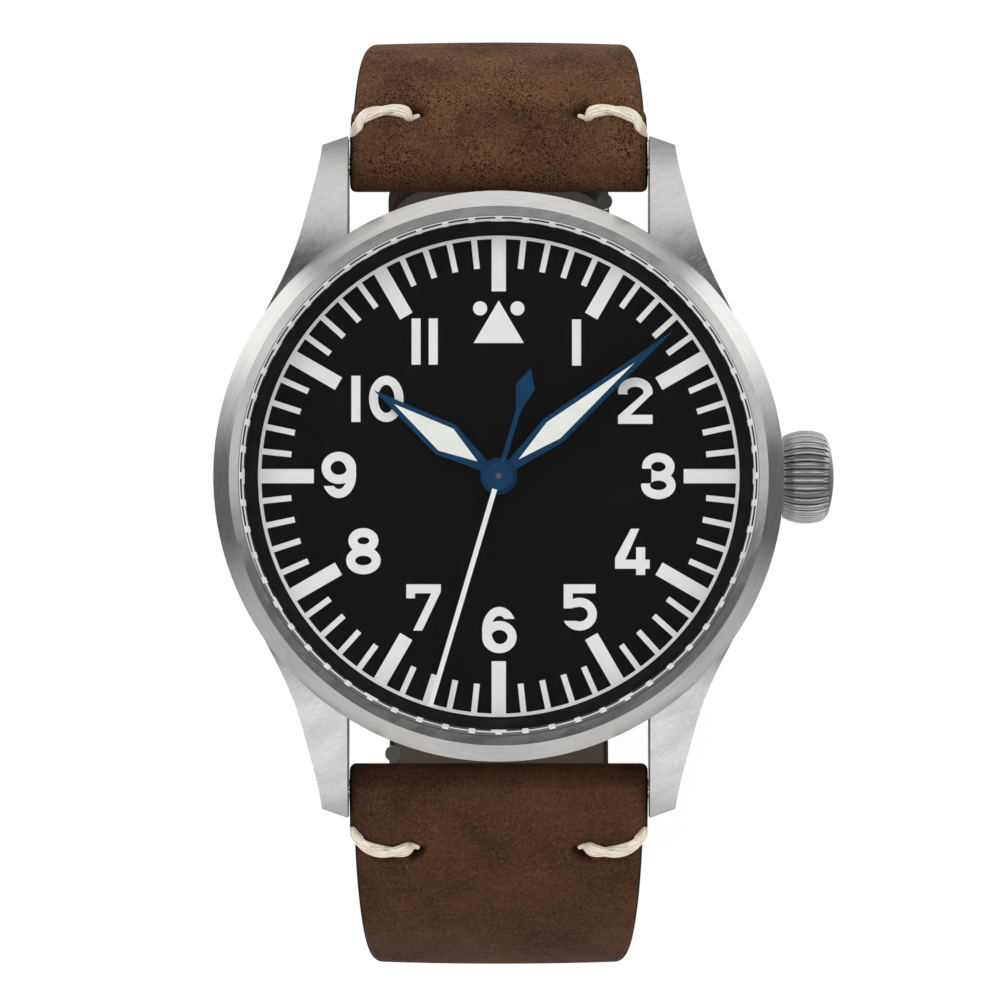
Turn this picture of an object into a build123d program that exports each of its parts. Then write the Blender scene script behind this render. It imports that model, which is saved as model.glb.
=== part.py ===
"""Pilot watch on a two-piece leather strap, modelled in millimetres.

The origin is the centre of the flat case back. +Z points out of the dial along
the hand arbor, +Y to twelve o'clock and +X to the crown. The strap is shaped
round a wrist and lies unfastened: the tail of the long half runs inside the
short half, which carries the buckle, and does not touch it.
"""
import os
from math import asin, atan2, cos, degrees, hypot, pi, radians, sin

from build123d import *

os.makedirs("parts", exist_ok=True)

# Small gaps and overruns
RUN = 0.05  # radial clearance of everything that turns
FREE = 0.1  # gap between parts that pass each other
CUT = 1.0  # overrun of every cutting solid

# Case
CASE_RADIUS = 18.7
CASE_WALL = 1.6
CASE_BORE = CASE_RADIUS - CASE_WALL
CASE_TOP = 8.8
THREAD_STEP = 1.3
THREAD_RADIUS = CASE_BORE - THREAD_STEP
THREAD_WALL = 0.7
THREAD_TOP = 2.4
BACK_LIP = 0.6
BACK_RADIUS = THREAD_RADIUS + BACK_LIP
BACK_SLOPE = 1.8
BACK_RIM_Z = 0.9
BACK_THICK = 1.2
CASE_EDGE = 0.35
SEAL_WIRE = 0.2

# Bezel and crystal
BEZEL_OVERHANG = 0.3
BEZEL_RADIUS = CASE_RADIUS + BEZEL_OVERHANG
BEZEL_RIM_Z = 9.0
BEZEL_SLOPE = 1.1
BEZEL_RIDGE_Z = 10.6
BEZEL_MOUTH_Z = 10.35
CRYSTAL_SEAT = 0.05
CRYSTAL_RADIUS = CASE_BORE - CRYSTAL_SEAT
CRYSTAL_THICK = 1.0
CRYSTAL_BEVEL = 0.2
CRYSTAL_BEVEL_DROP = 0.2
SEAL_WALL = 0.25
SEAL_DROP = 0.1

# Lugs and strap bars
LUG_GAP = 20.2
LUG_LENGTH = 4.1
LUG_REACH = CASE_RADIUS + LUG_LENGTH
LUG_TIP_SLANT = 0.6
LUG_OUTER_REACH = LUG_REACH - LUG_TIP_SLANT
LUG_TIP_WIDTH = 1.7
LUG_TOP_TIP_Z = 6.7
LUG_LOW_TIP_Z = 2.3
LUG_LOW_Z = 0.9
LUG_ROOT_SETBACK = 6.7
LUG_ROOT_Y = CASE_RADIUS - LUG_ROOT_SETBACK
BAR_SETBACK = 1.8
BAR_Y = LUG_REACH - BAR_SETBACK
BAR_Z = 4.2
BAR_RADIUS = 0.75
BAR_PIN_RADIUS = 0.4
BAR_PIN_DEPTH = 0.9
KNOB_X = 7.1
KNOB_REACH = 2.45
KNOB_RADIUS = 0.53
KNOB_HEIGHT = 1.1
KNOB_POST = 0.25
KNOB_TRAVEL = 1.5

# Crown and stem
STEM_Z = 4.9
STEM_RADIUS = 0.45
STEM_INNER_X = 6.4
CROWN_GAP = 0.35
CROWN_X = CASE_RADIUS + CROWN_GAP
CROWN_LENGTH = 3.4
CROWN_RADIUS = 3.13
CROWN_WIDEST = 1.53
CROWN_SHOULDER = 0.71
CROWN_SHOULDER_DROP = 0.42
CROWN_DOME = 0.4
DOME_FLAT = 0.25  # flat middle of the crown's end, as a share of the dome
CROWN_FLUTES = 36
CROWN_FLUTE_DEPTH = 0.2
FLUTE_ARC = 76.0  # degrees of the ring segment that cuts a flute
CROWN_BORE = 2.0
CROWN_BORE_DEPTH = 1.7
TUBE_RADIUS = 1.3
TUBE_BORE = 0.55
TUBE_OUT = 1.4
TUBE_OUT_X = CASE_RADIUS + TUBE_OUT
CROWN_SEAL_WIRE = 0.3
PINION_X = 9.2
PINION_LENGTH = 1.2
PINION_RADIUS = 1.1
CLUTCH_LENGTH = 1.6
CLUTCH_TEETH = 12

# Dial and flange
DIAL_TOP = 7.8
DIAL_THICK = 0.4
DIAL_PLAY = 0.2
DIAL_RADIUS = CASE_BORE - DIAL_PLAY
DIAL_HOLE = 1.0
FLANGE_WIDTH = 0.8
FLANGE_FOOT_RADIUS = DIAL_RADIUS - FLANGE_WIDTH
FLANGE_TOP_RADIUS = DIAL_RADIUS - RUN
FLANGE_TOP = 9.7
PRINT_THICK = 0.06
TRACK_RADIUS = 16.05
TRACK_WIDTH = 0.23
TICK_WIDTH = 0.39
TICK_INNER = 13.9
HOUR_WIDTH = 0.95
HOUR_INNER = 12.33
DIGIT_HEIGHT = 3.08
DIGIT_WIDTH = 2.3
STROKE = 0.6
DIGIT_RING = 10.5
TRIANGLE_BASE_Y = 8.88
TRIANGLE_APEX_Y = 11.72
TRIANGLE_WIDTH = 3.34
DOT_RADIUS = 0.47
DOT_X = 1.245
DOT_Y = 11.19

# Hands: reach from the arbor, and heights above the dial
HOUR_LENGTH = 10.1
HOUR_HALF = 1.18
HOUR_WIDEST = 4.27
MINUTE_LENGTH = 15.2
MINUTE_HALF = 1.0
MINUTE_WIDEST = 4.73
NECK_HALF = 0.43
NECK_REACH = 1.4
HOUR_ANGLE = -55.5
MINUTE_ANGLE = 50.2
SECONDS_ANGLE = 196.6
NEEDLE_LENGTH = 16.0
NEEDLE_WIDTH = 0.33
TAIL_DIAMOND = 6.2
TAIL_DIAMOND_HALF = 0.65
TAIL_ARM = 4.5
TAIL_TIP = 7.45
HUB_RADIUS = 1.22
UPPER_HUB_RADIUS = 0.93
HAND_THICK = 0.15
HOUR_RISE = 0.5
MINUTE_RISE = 0.95
SECONDS_RISE = 1.4
LUME_RISE = 0.04
LUME_RIM = 0.3
CAP_RISE = 0.25

# Movement: plates and bridges
MOVEMENT_RADIUS = 12.8
PLATE_LOW = 5.6
PLATE_TOP = 6.6
RIM_WALL = 0.7
BRIDGE_LOW = 2.2
BRIDGE_TOP = 3.2
BRIDGE_SPLIT_Y = -1.1
COCK_TOP = 2.6
ROTOR_LOW = 1.35
ROTOR_TOP = 1.85
ROTOR_WEB_TOP = 1.6
ROTOR_RADIUS = 12.3
ROTOR_WEIGHT_WALL = 2.2
ROTOR_HUB = 1.6
ROTOR_PIN = 0.5
JEWEL_RADIUS = 0.55
JEWEL_BORE = 0.2
JEWEL_THICK = 0.4
ARBOR = 0.15
SCREW_HEAD = 0.8
SCREW_HEAD_THICK = 0.3
SCREW_RING = 11.2

# Movement: wheels. The train is sixty to one from centre wheel to fourth wheel
TRAIN_DISTANCE = 4.7
THIRD_ANGLE = 200.0
CENTER_TEETH = 48
THIRD_PINION_TEETH = 6
THIRD_TEETH = 45
FOURTH_PINION_TEETH = 6
FOURTH_TEETH = 70
ESCAPE_PINION_TEETH = 7
FOURTH_MODULE = 0.12
ESCAPE_ANGLE = 285.0
BARREL_TEETH = 80
CENTER_PINION_TEETH = 10
BARREL_MODULE = 0.14
BARREL_ANGLE = 75.0
MOTION_DISTANCE = 3.6
MOTION_ANGLE = 120.0
CANNON_TEETH = 12
MINUTE_WHEEL_TEETH = 36
MINUTE_PINION_TEETH = 10
HOUR_TEETH = 40
WHEEL_THICK = 0.16
PINION_THICK = 0.4
FOURTH_Z = 3.32
ESCAPE_PINION_Z = 3.25
FOURTH_PINION_Z = 3.56
THIRD_Z = 3.66
BARREL_LOW = 4.0
BARREL_HIGH = 5.05
BARREL_TOOTH_Z = 4.4
BARREL_WALL = 0.25
THIRD_PINION_Z = 5.06
CENTER_Z = 5.2
CANNON_Z = 6.68
MINUTE_WHEEL_Z = 6.7
MINUTE_PINION_Z = 6.9
HOUR_Z = 6.96
FOURTH_ARBOR = 0.2
CENTER_ARBOR = 0.4
CANNON_PIPE = 0.52
HOUR_PIPE = 0.75
ESCAPE_Z = 4.4
ESCAPE_RADIUS = 2.2
ESCAPE_WHEEL_TEETH = 15
FORK_DISTANCE = 2.75
FORK_ANGLE = 215.0
FORK_Z = 4.4
FORK_HALF = 0.13
FORK_ARM = 1.75
STONE = 0.35
BALANCE_DISTANCE = 3.1
BALANCE_ANGLE = 205.0
BALANCE_RADIUS = 3.7
BALANCE_WALL = 0.45
BALANCE_Z = 2.95
BALANCE_THICK = 0.26
ROLLER_RADIUS = 0.55
ROLLER_Z = 3.9
HAIRSPRING_OUTER = 2.1
HAIRSPRING_INNER = 0.55
HAIRSPRING_TURNS = 6
HAIRSPRING_WIRE = 0.08
HAIRSPRING_Z = 2.7
HAIRSPRING_THICK = 0.14
MAINSPRING_TURNS = 7
MAINSPRING_WIRE = 0.2
BARREL_ARBOR = 0.9
CROWN_WHEEL_X = 8.4
CROWN_WHEEL_Y = 2.4
CROWN_WHEEL_TEETH = 33
RATCHET_TEETH = 49
WIND_Z = 1.93
WIND_THICK = 0.2
CONTRATE_OUTER = 2.9
CONTRATE_INNER = 2.2
CONTRATE_TOP = 3.7
POST_RADIUS = 0.8
CLICK_LENGTH = 2.4
CLICK_HALF = 0.3

# Strap: the loop that both halves follow, and their leather
STRAP_GAP = 0.2
STRAP_ROOT_THICK = 3.6
STRAP_WIDE_THICK = 2.9
STRAP_END_THICK = 2.2
LINING_THICK = 0.7
SHORT_BULGE = 9.0
LONG_BULGE = 12.1
LOOP_HALF = BAR_Y + LONG_BULGE
LOOP_WIDE_Z = -7.4
LOOP_LOW_Z = -43.0
LOOP_FLAT_HALF = 12.0
LAYER_GAP = 4.1
LAYER_STEP = 5.0
TAIL_LENGTH = 30.0
STRAP_WIDE_WIDTH = 18.3
STRAP_END_WIDTH = 16.0
STRAP_END_Z = -22.0
TIP_LENGTH = 6.0
TIP_HALF = 3.0
HOLE_COUNT = 7
HOLE_PITCH = 6.5
HOLES_BACK = 18.0
HOLE_RADIUS = 0.9
STITCH_RADIUS = 0.42
STITCH_HOLE_X = 5.4
STITCH_EDGE_X = 9.5
STITCH_START = 2.4
STITCH_PEAK_X = 7.8
STITCH_PEAK = 3.2
STITCH_EDGE = 2.2
LONG_STITCH_SET = 0.85

# Buckle and keepers
BUCKLE_Y = -2.9
BUCKLE_BAR_RADIUS = 0.7
BUCKLE_FOLD = 1.55
FRAME_GAP = 0.3
FRAME_SIDE = 1.8
FRAME_BAR = 1.9
FRAME_THICK = 2.0
FRAME_REACH = 8.4
FRAME_EDGE = 0.3
EAR_BACK = 1.5
TANG_WIDTH = 1.7
TANG_THICK = 0.9
TANG_SLOT = 2.3
TANG_SLOT_REACH = 2.4
KEEPER_THICK = 1.0
KEEPER_LENGTH = 4.0
KEEPER_GAP = 0.3
FIXED_KEEPER_SET = 2.1
FREE_KEEPER_SET = 8.4


def disc(radius, low, high, x=0.0, y=0.0):
    """Upright cylinder from one height to another."""
    solid = Cylinder(radius, high - low, align=(Align.CENTER, Align.CENTER, Align.MIN))
    return Pos(x, y, low) * solid


def ring(outer, inner, low, high, x=0.0, y=0.0):
    """Upright tube."""
    return disc(outer, low, high, x, y) - disc(inner, low - CUT, high + CUT, x, y)


def rod(radius, start, end, y=0.0, z=0.0):
    """Cylinder along X."""
    solid = Cylinder(radius, end - start, align=(Align.CENTER, Align.CENTER, Align.MIN))
    return Pos(start, y, z) * Rot(0, 90, 0) * solid


def tube(outer, inner, start, end, y=0.0, z=0.0):
    """Hollow cylinder along X."""
    return rod(outer, start, end, y, z) - rod(inner, start - CUT, end + CUT, y, z)


def block(x0, x1, y0, y1, z0, z1):
    """Box between two corners."""
    solid = Box(x1 - x0, y1 - y0, z1 - z0, align=(Align.MIN, Align.MIN, Align.MIN))
    return Pos(x0, y0, z0) * solid


def turned(points):
    """Solid of revolution about Z of a closed outline of (radius, height)."""
    outline = Plane.XZ * make_face(Polyline(*points, close=True))
    return revolve(outline, axis=Axis.Z)


def slab(points, low, high):
    """Closed plan outline made solid between two heights."""
    flat = make_face(Polyline(*points, close=True))
    return Pos(0, 0, low) * extrude(flat, high - low, dir=(0, 0, 1))


def polar(radius, angle, x=0.0, y=0.0):
    """Plan point at a radius and an angle in degrees from a centre."""
    return (x + radius * cos(radians(angle)), y + radius * sin(radians(angle)))


def save(node, *solids):
    """Write one node, its solids kept separate."""
    pieces = []
    for solid in solids:
        pieces.extend(solid.solids())
    body = pieces[0] if len(pieces) == 1 else Compound(children=pieces)
    export_step(body, "parts/" + node + ".step")


# Case shell
glass_low = FLANGE_TOP + RUN
crystal_top = glass_low + CRYSTAL_THICK
seal_outer = CRYSTAL_RADIUS + SEAL_WALL
bezel_bore = FLANGE_TOP_RADIUS + FREE


def lug():
    """One lug: its plan outline cut by its side outline, at +X and +Y."""
    inner = LUG_GAP / 2
    tip = inner + LUG_TIP_WIDTH
    span = LUG_OUTER_REACH - LUG_ROOT_Y
    flare = CASE_RADIUS * cos(asin(LUG_ROOT_Y / CASE_RADIUS)) - tip
    # Shares of the lug's length and flare, from the tip back to the case band
    side_shares = ((0.19, 0.14), (0.38, 0.34), (0.64, 0.63), (0.9, 1.06), (1.17, 1.61), (1.39, 1.98))
    side = [(tip, LUG_OUTER_REACH)]
    for along, out in side_shares:
        side.append((tip + flare * out, LUG_OUTER_REACH - span * along))
    outer_edge = Spline(*side)
    band = (side[-1][0] - CASE_WALL / 2, side[-1][1])
    root = (inner, LUG_ROOT_Y + CASE_WALL)
    rest = Polyline(side[-1], band, root, (inner, LUG_REACH), side[0])
    plan = extrude(make_face(outer_edge + rest), CASE_TOP, dir=(0, 0, 1))
    crest = ThreePointArc(
        (LUG_ROOT_Y - CASE_WALL, CASE_TOP),
        ((LUG_ROOT_Y + LUG_REACH) / 2, CASE_TOP - (CASE_TOP - LUG_TOP_TIP_Z) * 0.3),
        (LUG_REACH, LUG_TOP_TIP_Z),
    )
    belly = ThreePointArc(
        (LUG_REACH, LUG_LOW_TIP_Z),
        ((LUG_ROOT_Y + LUG_REACH) / 2 + CASE_WALL, LUG_LOW_Z + (LUG_LOW_TIP_Z - LUG_LOW_Z) * 0.2),
        (LUG_ROOT_Y, LUG_LOW_Z),
    )
    back = Polyline((LUG_ROOT_Y, LUG_LOW_Z), (0, LUG_LOW_Z), (0, CASE_TOP), (LUG_ROOT_Y - CASE_WALL, CASE_TOP))
    end = Line((LUG_REACH, LUG_TOP_TIP_Z), (LUG_REACH, LUG_LOW_TIP_Z))
    side_face = Plane.YZ * make_face(crest + end + belly + back)
    return plan & extrude(side_face, CASE_RADIUS + CUT, dir=(1, 0, 0))


band_outline = [
    (CASE_BORE, THREAD_TOP + FREE),
    (THREAD_RADIUS + RUN, THREAD_TOP + FREE),
    (THREAD_RADIUS + RUN, BACK_THICK),
    (BACK_RADIUS + RUN, BACK_THICK),
    (BACK_RADIUS + RUN, BACK_RIM_Z),
    (CASE_RADIUS - CASE_EDGE, BACK_RIM_Z),
    (CASE_RADIUS, BACK_RIM_Z + CASE_EDGE),
    (CASE_RADIUS, CASE_TOP),
    (CASE_BORE, CASE_TOP),
]
mid_case = turned(band_outline)
one_lug = lug()
pair = one_lug + mirror(one_lug, about=Plane.YZ)
lugs = pair + mirror(pair, about=Plane.XZ)
mid_case = mid_case + lugs
mid_case -= disc(CASE_BORE, THREAD_TOP + FREE, CASE_TOP + CUT)
mid_case -= disc(BACK_RADIUS + RUN, -CUT, BACK_THICK)
mid_case -= disc(THREAD_RADIUS + RUN, -CUT, THREAD_TOP + FREE)
pin_end = LUG_GAP / 2 + BAR_PIN_DEPTH
for bar_y in (BAR_Y, -BAR_Y):
    mid_case -= rod(BAR_PIN_RADIUS + RUN, -pin_end - RUN, pin_end + RUN, bar_y, BAR_Z)
seal_groove = SEAL_WIRE + RUN
mid_case -= ring(BACK_RADIUS + RUN, THREAD_RADIUS, BACK_THICK - CUT, BACK_THICK + seal_groove * 2)
mid_case -= rod(TUBE_RADIUS, 0, CASE_RADIUS + CUT, 0, STEM_Z)
save("mid_case", mid_case)

back_plate = turned([
    (0, 0),
    (BACK_RADIUS - BACK_SLOPE, 0),
    (BACK_RADIUS, BACK_RIM_Z),
    (BACK_RADIUS, BACK_THICK),
    (0, BACK_THICK),
])
back_plate += ring(THREAD_RADIUS, THREAD_RADIUS - THREAD_WALL, BACK_THICK, THREAD_TOP)
save("case_back", back_plate)
seal_mid = (THREAD_RADIUS + BACK_RADIUS) / 2 + RUN
case_back_gasket = Pos(0, 0, BACK_THICK + SEAL_WIRE + RUN / 2) * Torus(seal_mid, SEAL_WIRE)
save("case_back_gasket", case_back_gasket)

bezel = turned([
    (bezel_bore, CASE_TOP),
    (BEZEL_RADIUS, CASE_TOP),
    (BEZEL_RADIUS, BEZEL_RIM_Z),
    (BEZEL_RADIUS - BEZEL_SLOPE, BEZEL_RIDGE_Z),
    (seal_outer, BEZEL_MOUTH_Z),
    (seal_outer, glass_low),
    (bezel_bore, glass_low),
])
save("bezel", bezel)
crystal = turned([
    (0, glass_low),
    (CRYSTAL_RADIUS, glass_low),
    (CRYSTAL_RADIUS, crystal_top - CRYSTAL_BEVEL_DROP),
    (CRYSTAL_RADIUS - CRYSTAL_BEVEL, crystal_top),
    (0, crystal_top),
])
save("crystal", crystal)
save("crystal_gasket", ring(seal_outer, CRYSTAL_RADIUS, glass_low, BEZEL_MOUTH_Z - SEAL_DROP))

# Dial side
dial_low = DIAL_TOP - DIAL_THICK
save("dial", ring(DIAL_RADIUS, DIAL_HOLE, dial_low, DIAL_TOP))
flange = turned([
    (FLANGE_FOOT_RADIUS, DIAL_TOP),
    (DIAL_RADIUS, DIAL_TOP),
    (FLANGE_TOP_RADIUS + RUN, FLANGE_TOP),
    (FLANGE_TOP_RADIUS, FLANGE_TOP),
])
save("flange_ring", flange)
holder = ring(CASE_BORE - RUN, MOVEMENT_RADIUS, THREAD_TOP + FREE, dial_low)
holder -= rod(TUBE_RADIUS, 0, CASE_RADIUS, 0, STEM_Z)
save("movement_ring", holder)

print_top = DIAL_TOP + PRINT_THICK


def dial_bar(width, inner, angle):
    """One upright dial marker from an inner radius to the track."""
    outer = TRACK_RADIUS - TRACK_WIDTH / 2
    flat = [(-width / 2, inner), (width / 2, inner), (width / 2, outer), (-width / 2, outer)]
    return Rot(0, 0, angle) * slab(flat, DIAL_TOP, print_top)


track = ring(TRACK_RADIUS, TRACK_RADIUS - TRACK_WIDTH, DIAL_TOP, print_top)
marks = []
for minute in range(60):
    if minute % 5:
        marks.append(dial_bar(TICK_WIDTH, TICK_INNER, minute * 6))
    else:
        marks.append(dial_bar(HOUR_WIDTH, HOUR_INNER, minute * 6))
track = track + marks
save("dial_minute_track", track)


def oval(width, height, x, y):
    """Ring-shaped stroke of a figure, as a flat face."""
    outer = Ellipse(width / 2, height / 2)
    inner = Ellipse(width / 2 - STROKE, height / 2 - STROKE)
    return Pos(x, y) * (outer - inner)


def stroke(*points):
    """Flat closed outline of a figure's straight stroke."""
    return make_face(Polyline(*points, close=True))


def digit(figure):
    """Flat face of one figure, centred on its own middle."""
    half = DIGIT_HEIGHT / 2
    side = DIGIT_WIDTH / 2
    bowl = DIGIT_WIDTH
    small = DIGIT_HEIGHT - bowl + STROKE
    if figure == "1":
        return Rectangle(STROKE, DIGIT_HEIGHT)
    if figure == "0":
        return oval(DIGIT_WIDTH, DIGIT_HEIGHT, 0, 0)
    if figure == "8":
        upper = oval(DIGIT_WIDTH - STROKE / 2, small + STROKE / 2, 0, half - small / 2 - STROKE / 4)
        lower = oval(DIGIT_WIDTH, bowl * 0.8, 0, bowl * 0.4 - half)
        return upper + lower
    if figure in "69":
        lower = oval(DIGIT_WIDTH, bowl * 0.93, 0, bowl * 0.465 - half)
        tall = oval(DIGIT_WIDTH, DIGIT_HEIGHT, 0, 0)
        cut_y = half - DIGIT_HEIGHT * 0.26
        left = Pos(-side / 2, 0) * Rectangle(side, DIGIT_HEIGHT)
        top = Pos(side / 2, (half + cut_y) / 2) * Rectangle(side, half - cut_y)
        six = lower + (tall & (left + top))
        return six if figure == "6" else Rot(0, 0, 180) * six
    if figure == "7":
        bar_low = half - STROKE
        return stroke(
            (-side, half),
            (side, half),
            (side, bar_low + STROKE * 0.2),
            (-side * 0.08, -half),
            (-side * 0.6, -half),
            (side * 0.45, bar_low),
            (-side * 0.5, bar_low),
            (-side * 0.5, half - STROKE * 1.55),
            (-side, half - STROKE * 1.55),
        )
    if figure == "4":
        foot = -half + DIGIT_HEIGHT * 0.135
        stem = Pos(side * 0.48, -half + DIGIT_HEIGHT * 0.3) * Rectangle(STROKE, DIGIT_HEIGHT * 0.6)
        arm = stroke(
            (-side, foot),
            (side, foot),
            (side, foot + STROKE),
            (-side * 0.4, foot + STROKE),
            (side * 0.4, half),
            (-side * 0.08, half),
            (-side, foot + STROKE * 1.2),
        )
        return arm + stem
    if figure == "5":
        ring_high = bowl * 0.95
        lower = oval(DIGIT_WIDTH, ring_high, 0, ring_high / 2 - half)
        gap_y = ring_high / 2 - half
        gap = Pos(-side / 2, gap_y) * Rectangle(side + FREE, STROKE * 1.5)
        top = Pos(0, half - STROKE / 2) * Rectangle(DIGIT_WIDTH * 0.92, STROKE)
        post_low = half - DIGIT_HEIGHT * 0.52
        post = Pos(-side * 0.92 + STROKE / 2, (half + post_low) / 2) * Rectangle(STROKE, half - post_low)
        return (lower - gap) + top + post
    if figure == "3":
        high = (DIGIT_HEIGHT + STROKE) / 2
        upper = oval(DIGIT_WIDTH * 0.94, high, 0, half - high / 2)
        lower = oval(DIGIT_WIDTH, high, 0, high / 2 - half)
        gap = Pos(-side / 2, 0) * Rectangle(side * 0.8, DIGIT_HEIGHT * 0.32)
        gap = Pos(-side * 0.3, 0) * gap
        return (upper + lower) - gap
    # The two: an open upper bowl that runs into a slanted leg and a flat foot
    high = DIGIT_HEIGHT * 0.62
    upper = oval(DIGIT_WIDTH, high, 0, half - high / 2)
    keep_y = half - DIGIT_HEIGHT * 0.36
    keep = Pos(0, (half + keep_y) / 2) * Rectangle(DIGIT_WIDTH, half - keep_y)
    leg = stroke(
        (side, keep_y + STROKE * 0.1),
        (side - STROKE, keep_y + STROKE * 0.1),
        (-side, -half + STROKE * 0.9),
        (-side, -half),
        (side, -half),
        (side, -half + STROKE),
        (-side * 0.28, -half + STROKE),
    )
    return (upper & keep) + leg


def figure_at(figure, x, y):
    """One printed figure standing on the dial."""
    face = Pos(x, y) * digit(figure)
    return Pos(0, 0, DIAL_TOP) * extrude(face, PRINT_THICK, dir=(0, 0, 1))


# Plan places of the figures, as shares of the figure ring's radius
figure_shares = (
    ("1", 0.494, 0.849),
    ("2", 0.867, 0.479),
    ("3", 1.013, 0.001),
    ("4", 0.848, -0.48),
    ("5", 0.513, -0.833),
    ("6", 0.004, -0.976),
    ("7", -0.477, -0.833),
    ("8", -0.859, -0.476),
    ("9", -1.015, 0.008),
    ("1", -0.907, 0.491),
    ("0", -0.714, 0.491),
    ("1", -0.525, 0.855),
    ("1", -0.416, 0.855),
)
figures = []
for figure, share_x, share_y in figure_shares:
    figures.append(figure_at(figure, share_x * DIGIT_RING, share_y * DIGIT_RING))
triangle = slab(
    [(-TRIANGLE_WIDTH / 2, TRIANGLE_BASE_Y), (TRIANGLE_WIDTH / 2, TRIANGLE_BASE_Y), (0, TRIANGLE_APEX_Y)],
    DIAL_TOP,
    print_top,
)
dots = [disc(DOT_RADIUS, DIAL_TOP, print_top, x, DOT_Y) for x in (-DOT_X, DOT_X)]
save("dial_numerals", *figures, triangle, *dots)


# Hands, drawn pointing to twelve and turned clockwise to their place
def hand_blade(length, half, widest, hub, low, high):
    """A lozenge blade with a hub round the arbor."""
    blade = slab(
        [(-NECK_HALF, 0), (-NECK_HALF, NECK_REACH), (-half, widest), (0, length), (half, widest),
         (NECK_HALF, NECK_REACH), (NECK_HALF, 0)],
        low,
        high,
    )
    return blade + disc(hub, low, high)


def hand_inlay(length, half, widest, low):
    """The luminous field on a blade, inset by the rim."""
    side = half - LUME_RIM
    start = NECK_REACH + LUME_RIM
    end = length - (length - widest) * LUME_RIM / half * 1.1
    return slab([(0, start), (-side, widest), (0, end), (side, widest)], low, low + LUME_RISE)


hour_z = DIAL_TOP + HOUR_RISE
minute_z = DIAL_TOP + MINUTE_RISE
seconds_z = DIAL_TOP + SECONDS_RISE
hour_turn = Rot(0, 0, -HOUR_ANGLE)
minute_turn = Rot(0, 0, -MINUTE_ANGLE)
seconds_turn = Rot(0, 0, -SECONDS_ANGLE)
hour_blade = hand_blade(HOUR_LENGTH, HOUR_HALF, HOUR_WIDEST, HUB_RADIUS, hour_z, hour_z + HAND_THICK)
hour_blade -= disc(HOUR_PIPE, hour_z - CUT, hour_z + CUT)
save("hour_hand", hour_turn * hour_blade)
minute_blade = hand_blade(
    MINUTE_LENGTH, MINUTE_HALF, MINUTE_WIDEST, UPPER_HUB_RADIUS, minute_z, minute_z + HAND_THICK
)
minute_blade -= disc(CANNON_PIPE, minute_z - CUT, minute_z + CUT)
save("minute_hand", minute_turn * minute_blade)
hour_inlay = hand_inlay(HOUR_LENGTH, HOUR_HALF, HOUR_WIDEST, hour_z + HAND_THICK)
save("hour_hand_lume", hour_turn * hour_inlay)
minute_inlay = hand_inlay(MINUTE_LENGTH, MINUTE_HALF, MINUTE_WIDEST, minute_z + HAND_THICK)
save("minute_hand_lume", minute_turn * minute_inlay)

arm = NEEDLE_WIDTH / 2
tail = slab(
    [(-arm, 0), (-arm, -TAIL_ARM), (-TAIL_DIAMOND_HALF, -TAIL_DIAMOND), (0, -TAIL_TIP),
     (TAIL_DIAMOND_HALF, -TAIL_DIAMOND), (arm, -TAIL_ARM), (arm, 0)],
    seconds_z,
    seconds_z + HAND_THICK,
)
tail += disc(UPPER_HUB_RADIUS, seconds_z, seconds_z + HAND_THICK)
tail += disc(UPPER_HUB_RADIUS / 2, seconds_z, seconds_z + CAP_RISE)
tail -= disc(FOURTH_ARBOR, seconds_z - CUT, seconds_z + CUT)
save("seconds_hand", seconds_turn * tail)
needle = slab(
    [(-arm, 0), (arm, 0), (arm, NEEDLE_LENGTH), (-arm, NEEDLE_LENGTH)],
    seconds_z,
    seconds_z + HAND_THICK,
)
needle -= disc(UPPER_HUB_RADIUS, seconds_z - CUT, seconds_z + CUT)
save("seconds_needle", seconds_turn * needle)

# Crown, stem and keyless works
crown_end = CROWN_X + CROWN_LENGTH
crown_mid = CROWN_X + CROWN_WIDEST
shoulder_x = crown_end - CROWN_SHOULDER
inner_radius = (CROWN_RADIUS ** 2 - CROWN_WIDEST ** 2) ** 0.5
shoulder_radius = (CROWN_RADIUS ** 2 - (shoulder_x - crown_mid) ** 2) ** 0.5
dome_radius = shoulder_radius - CROWN_SHOULDER_DROP
ball = ThreePointArc((CROWN_X, inner_radius), (crown_mid, CROWN_RADIUS), (shoulder_x, shoulder_radius))
dome = []
for share in (1.0, 0.75, 0.5, DOME_FLAT):
    dome.append((crown_end - CROWN_DOME * (share ** 2 - DOME_FLAT ** 2), dome_radius * share))
crown_rest = Polyline(
    (shoulder_x, shoulder_radius), *dome, (crown_end, 0), (CROWN_X, 0), (CROWN_X, inner_radius)
)
crown = revolve(make_face(ball + crown_rest), axis=Axis.X)
flute_pitch = 2 * pi * CROWN_RADIUS / CROWN_FLUTES
flute_radius = flute_pitch * 0.4
flute_reach = CROWN_RADIUS + flute_radius - CROWN_FLUTE_DEPTH
segment = Torus(flute_reach, flute_radius, major_angle=FLUTE_ARC, align=None)
flute = Pos(crown_mid, 0, 0) * Rot(0, 0, 90 - FLUTE_ARC / 2) * segment
crown = crown - [Rot(index * 360 / CROWN_FLUTES, 0, 0) * flute for index in range(CROWN_FLUTES)]
crown -= rod(CROWN_BORE, CROWN_X - CUT, CROWN_X + CROWN_BORE_DEPTH)
crown = Pos(0, 0, STEM_Z) * crown
save("crown", crown)
stem_end = CROWN_X + CROWN_BORE_DEPTH
save("winding_stem", rod(STEM_RADIUS, STEM_INNER_X, stem_end, 0, STEM_Z))
save("crown_tube", tube(TUBE_RADIUS, TUBE_BORE, CASE_BORE, TUBE_OUT_X, 0, STEM_Z))
seal_x = CROWN_X + CROWN_SEAL_WIRE
crown_seal = Pos(seal_x, 0, STEM_Z) * Rot(0, 90, 0) * Torus(CROWN_BORE - CROWN_SEAL_WIRE, CROWN_SEAL_WIRE)
save("crown_gasket", crown_seal)


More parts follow.
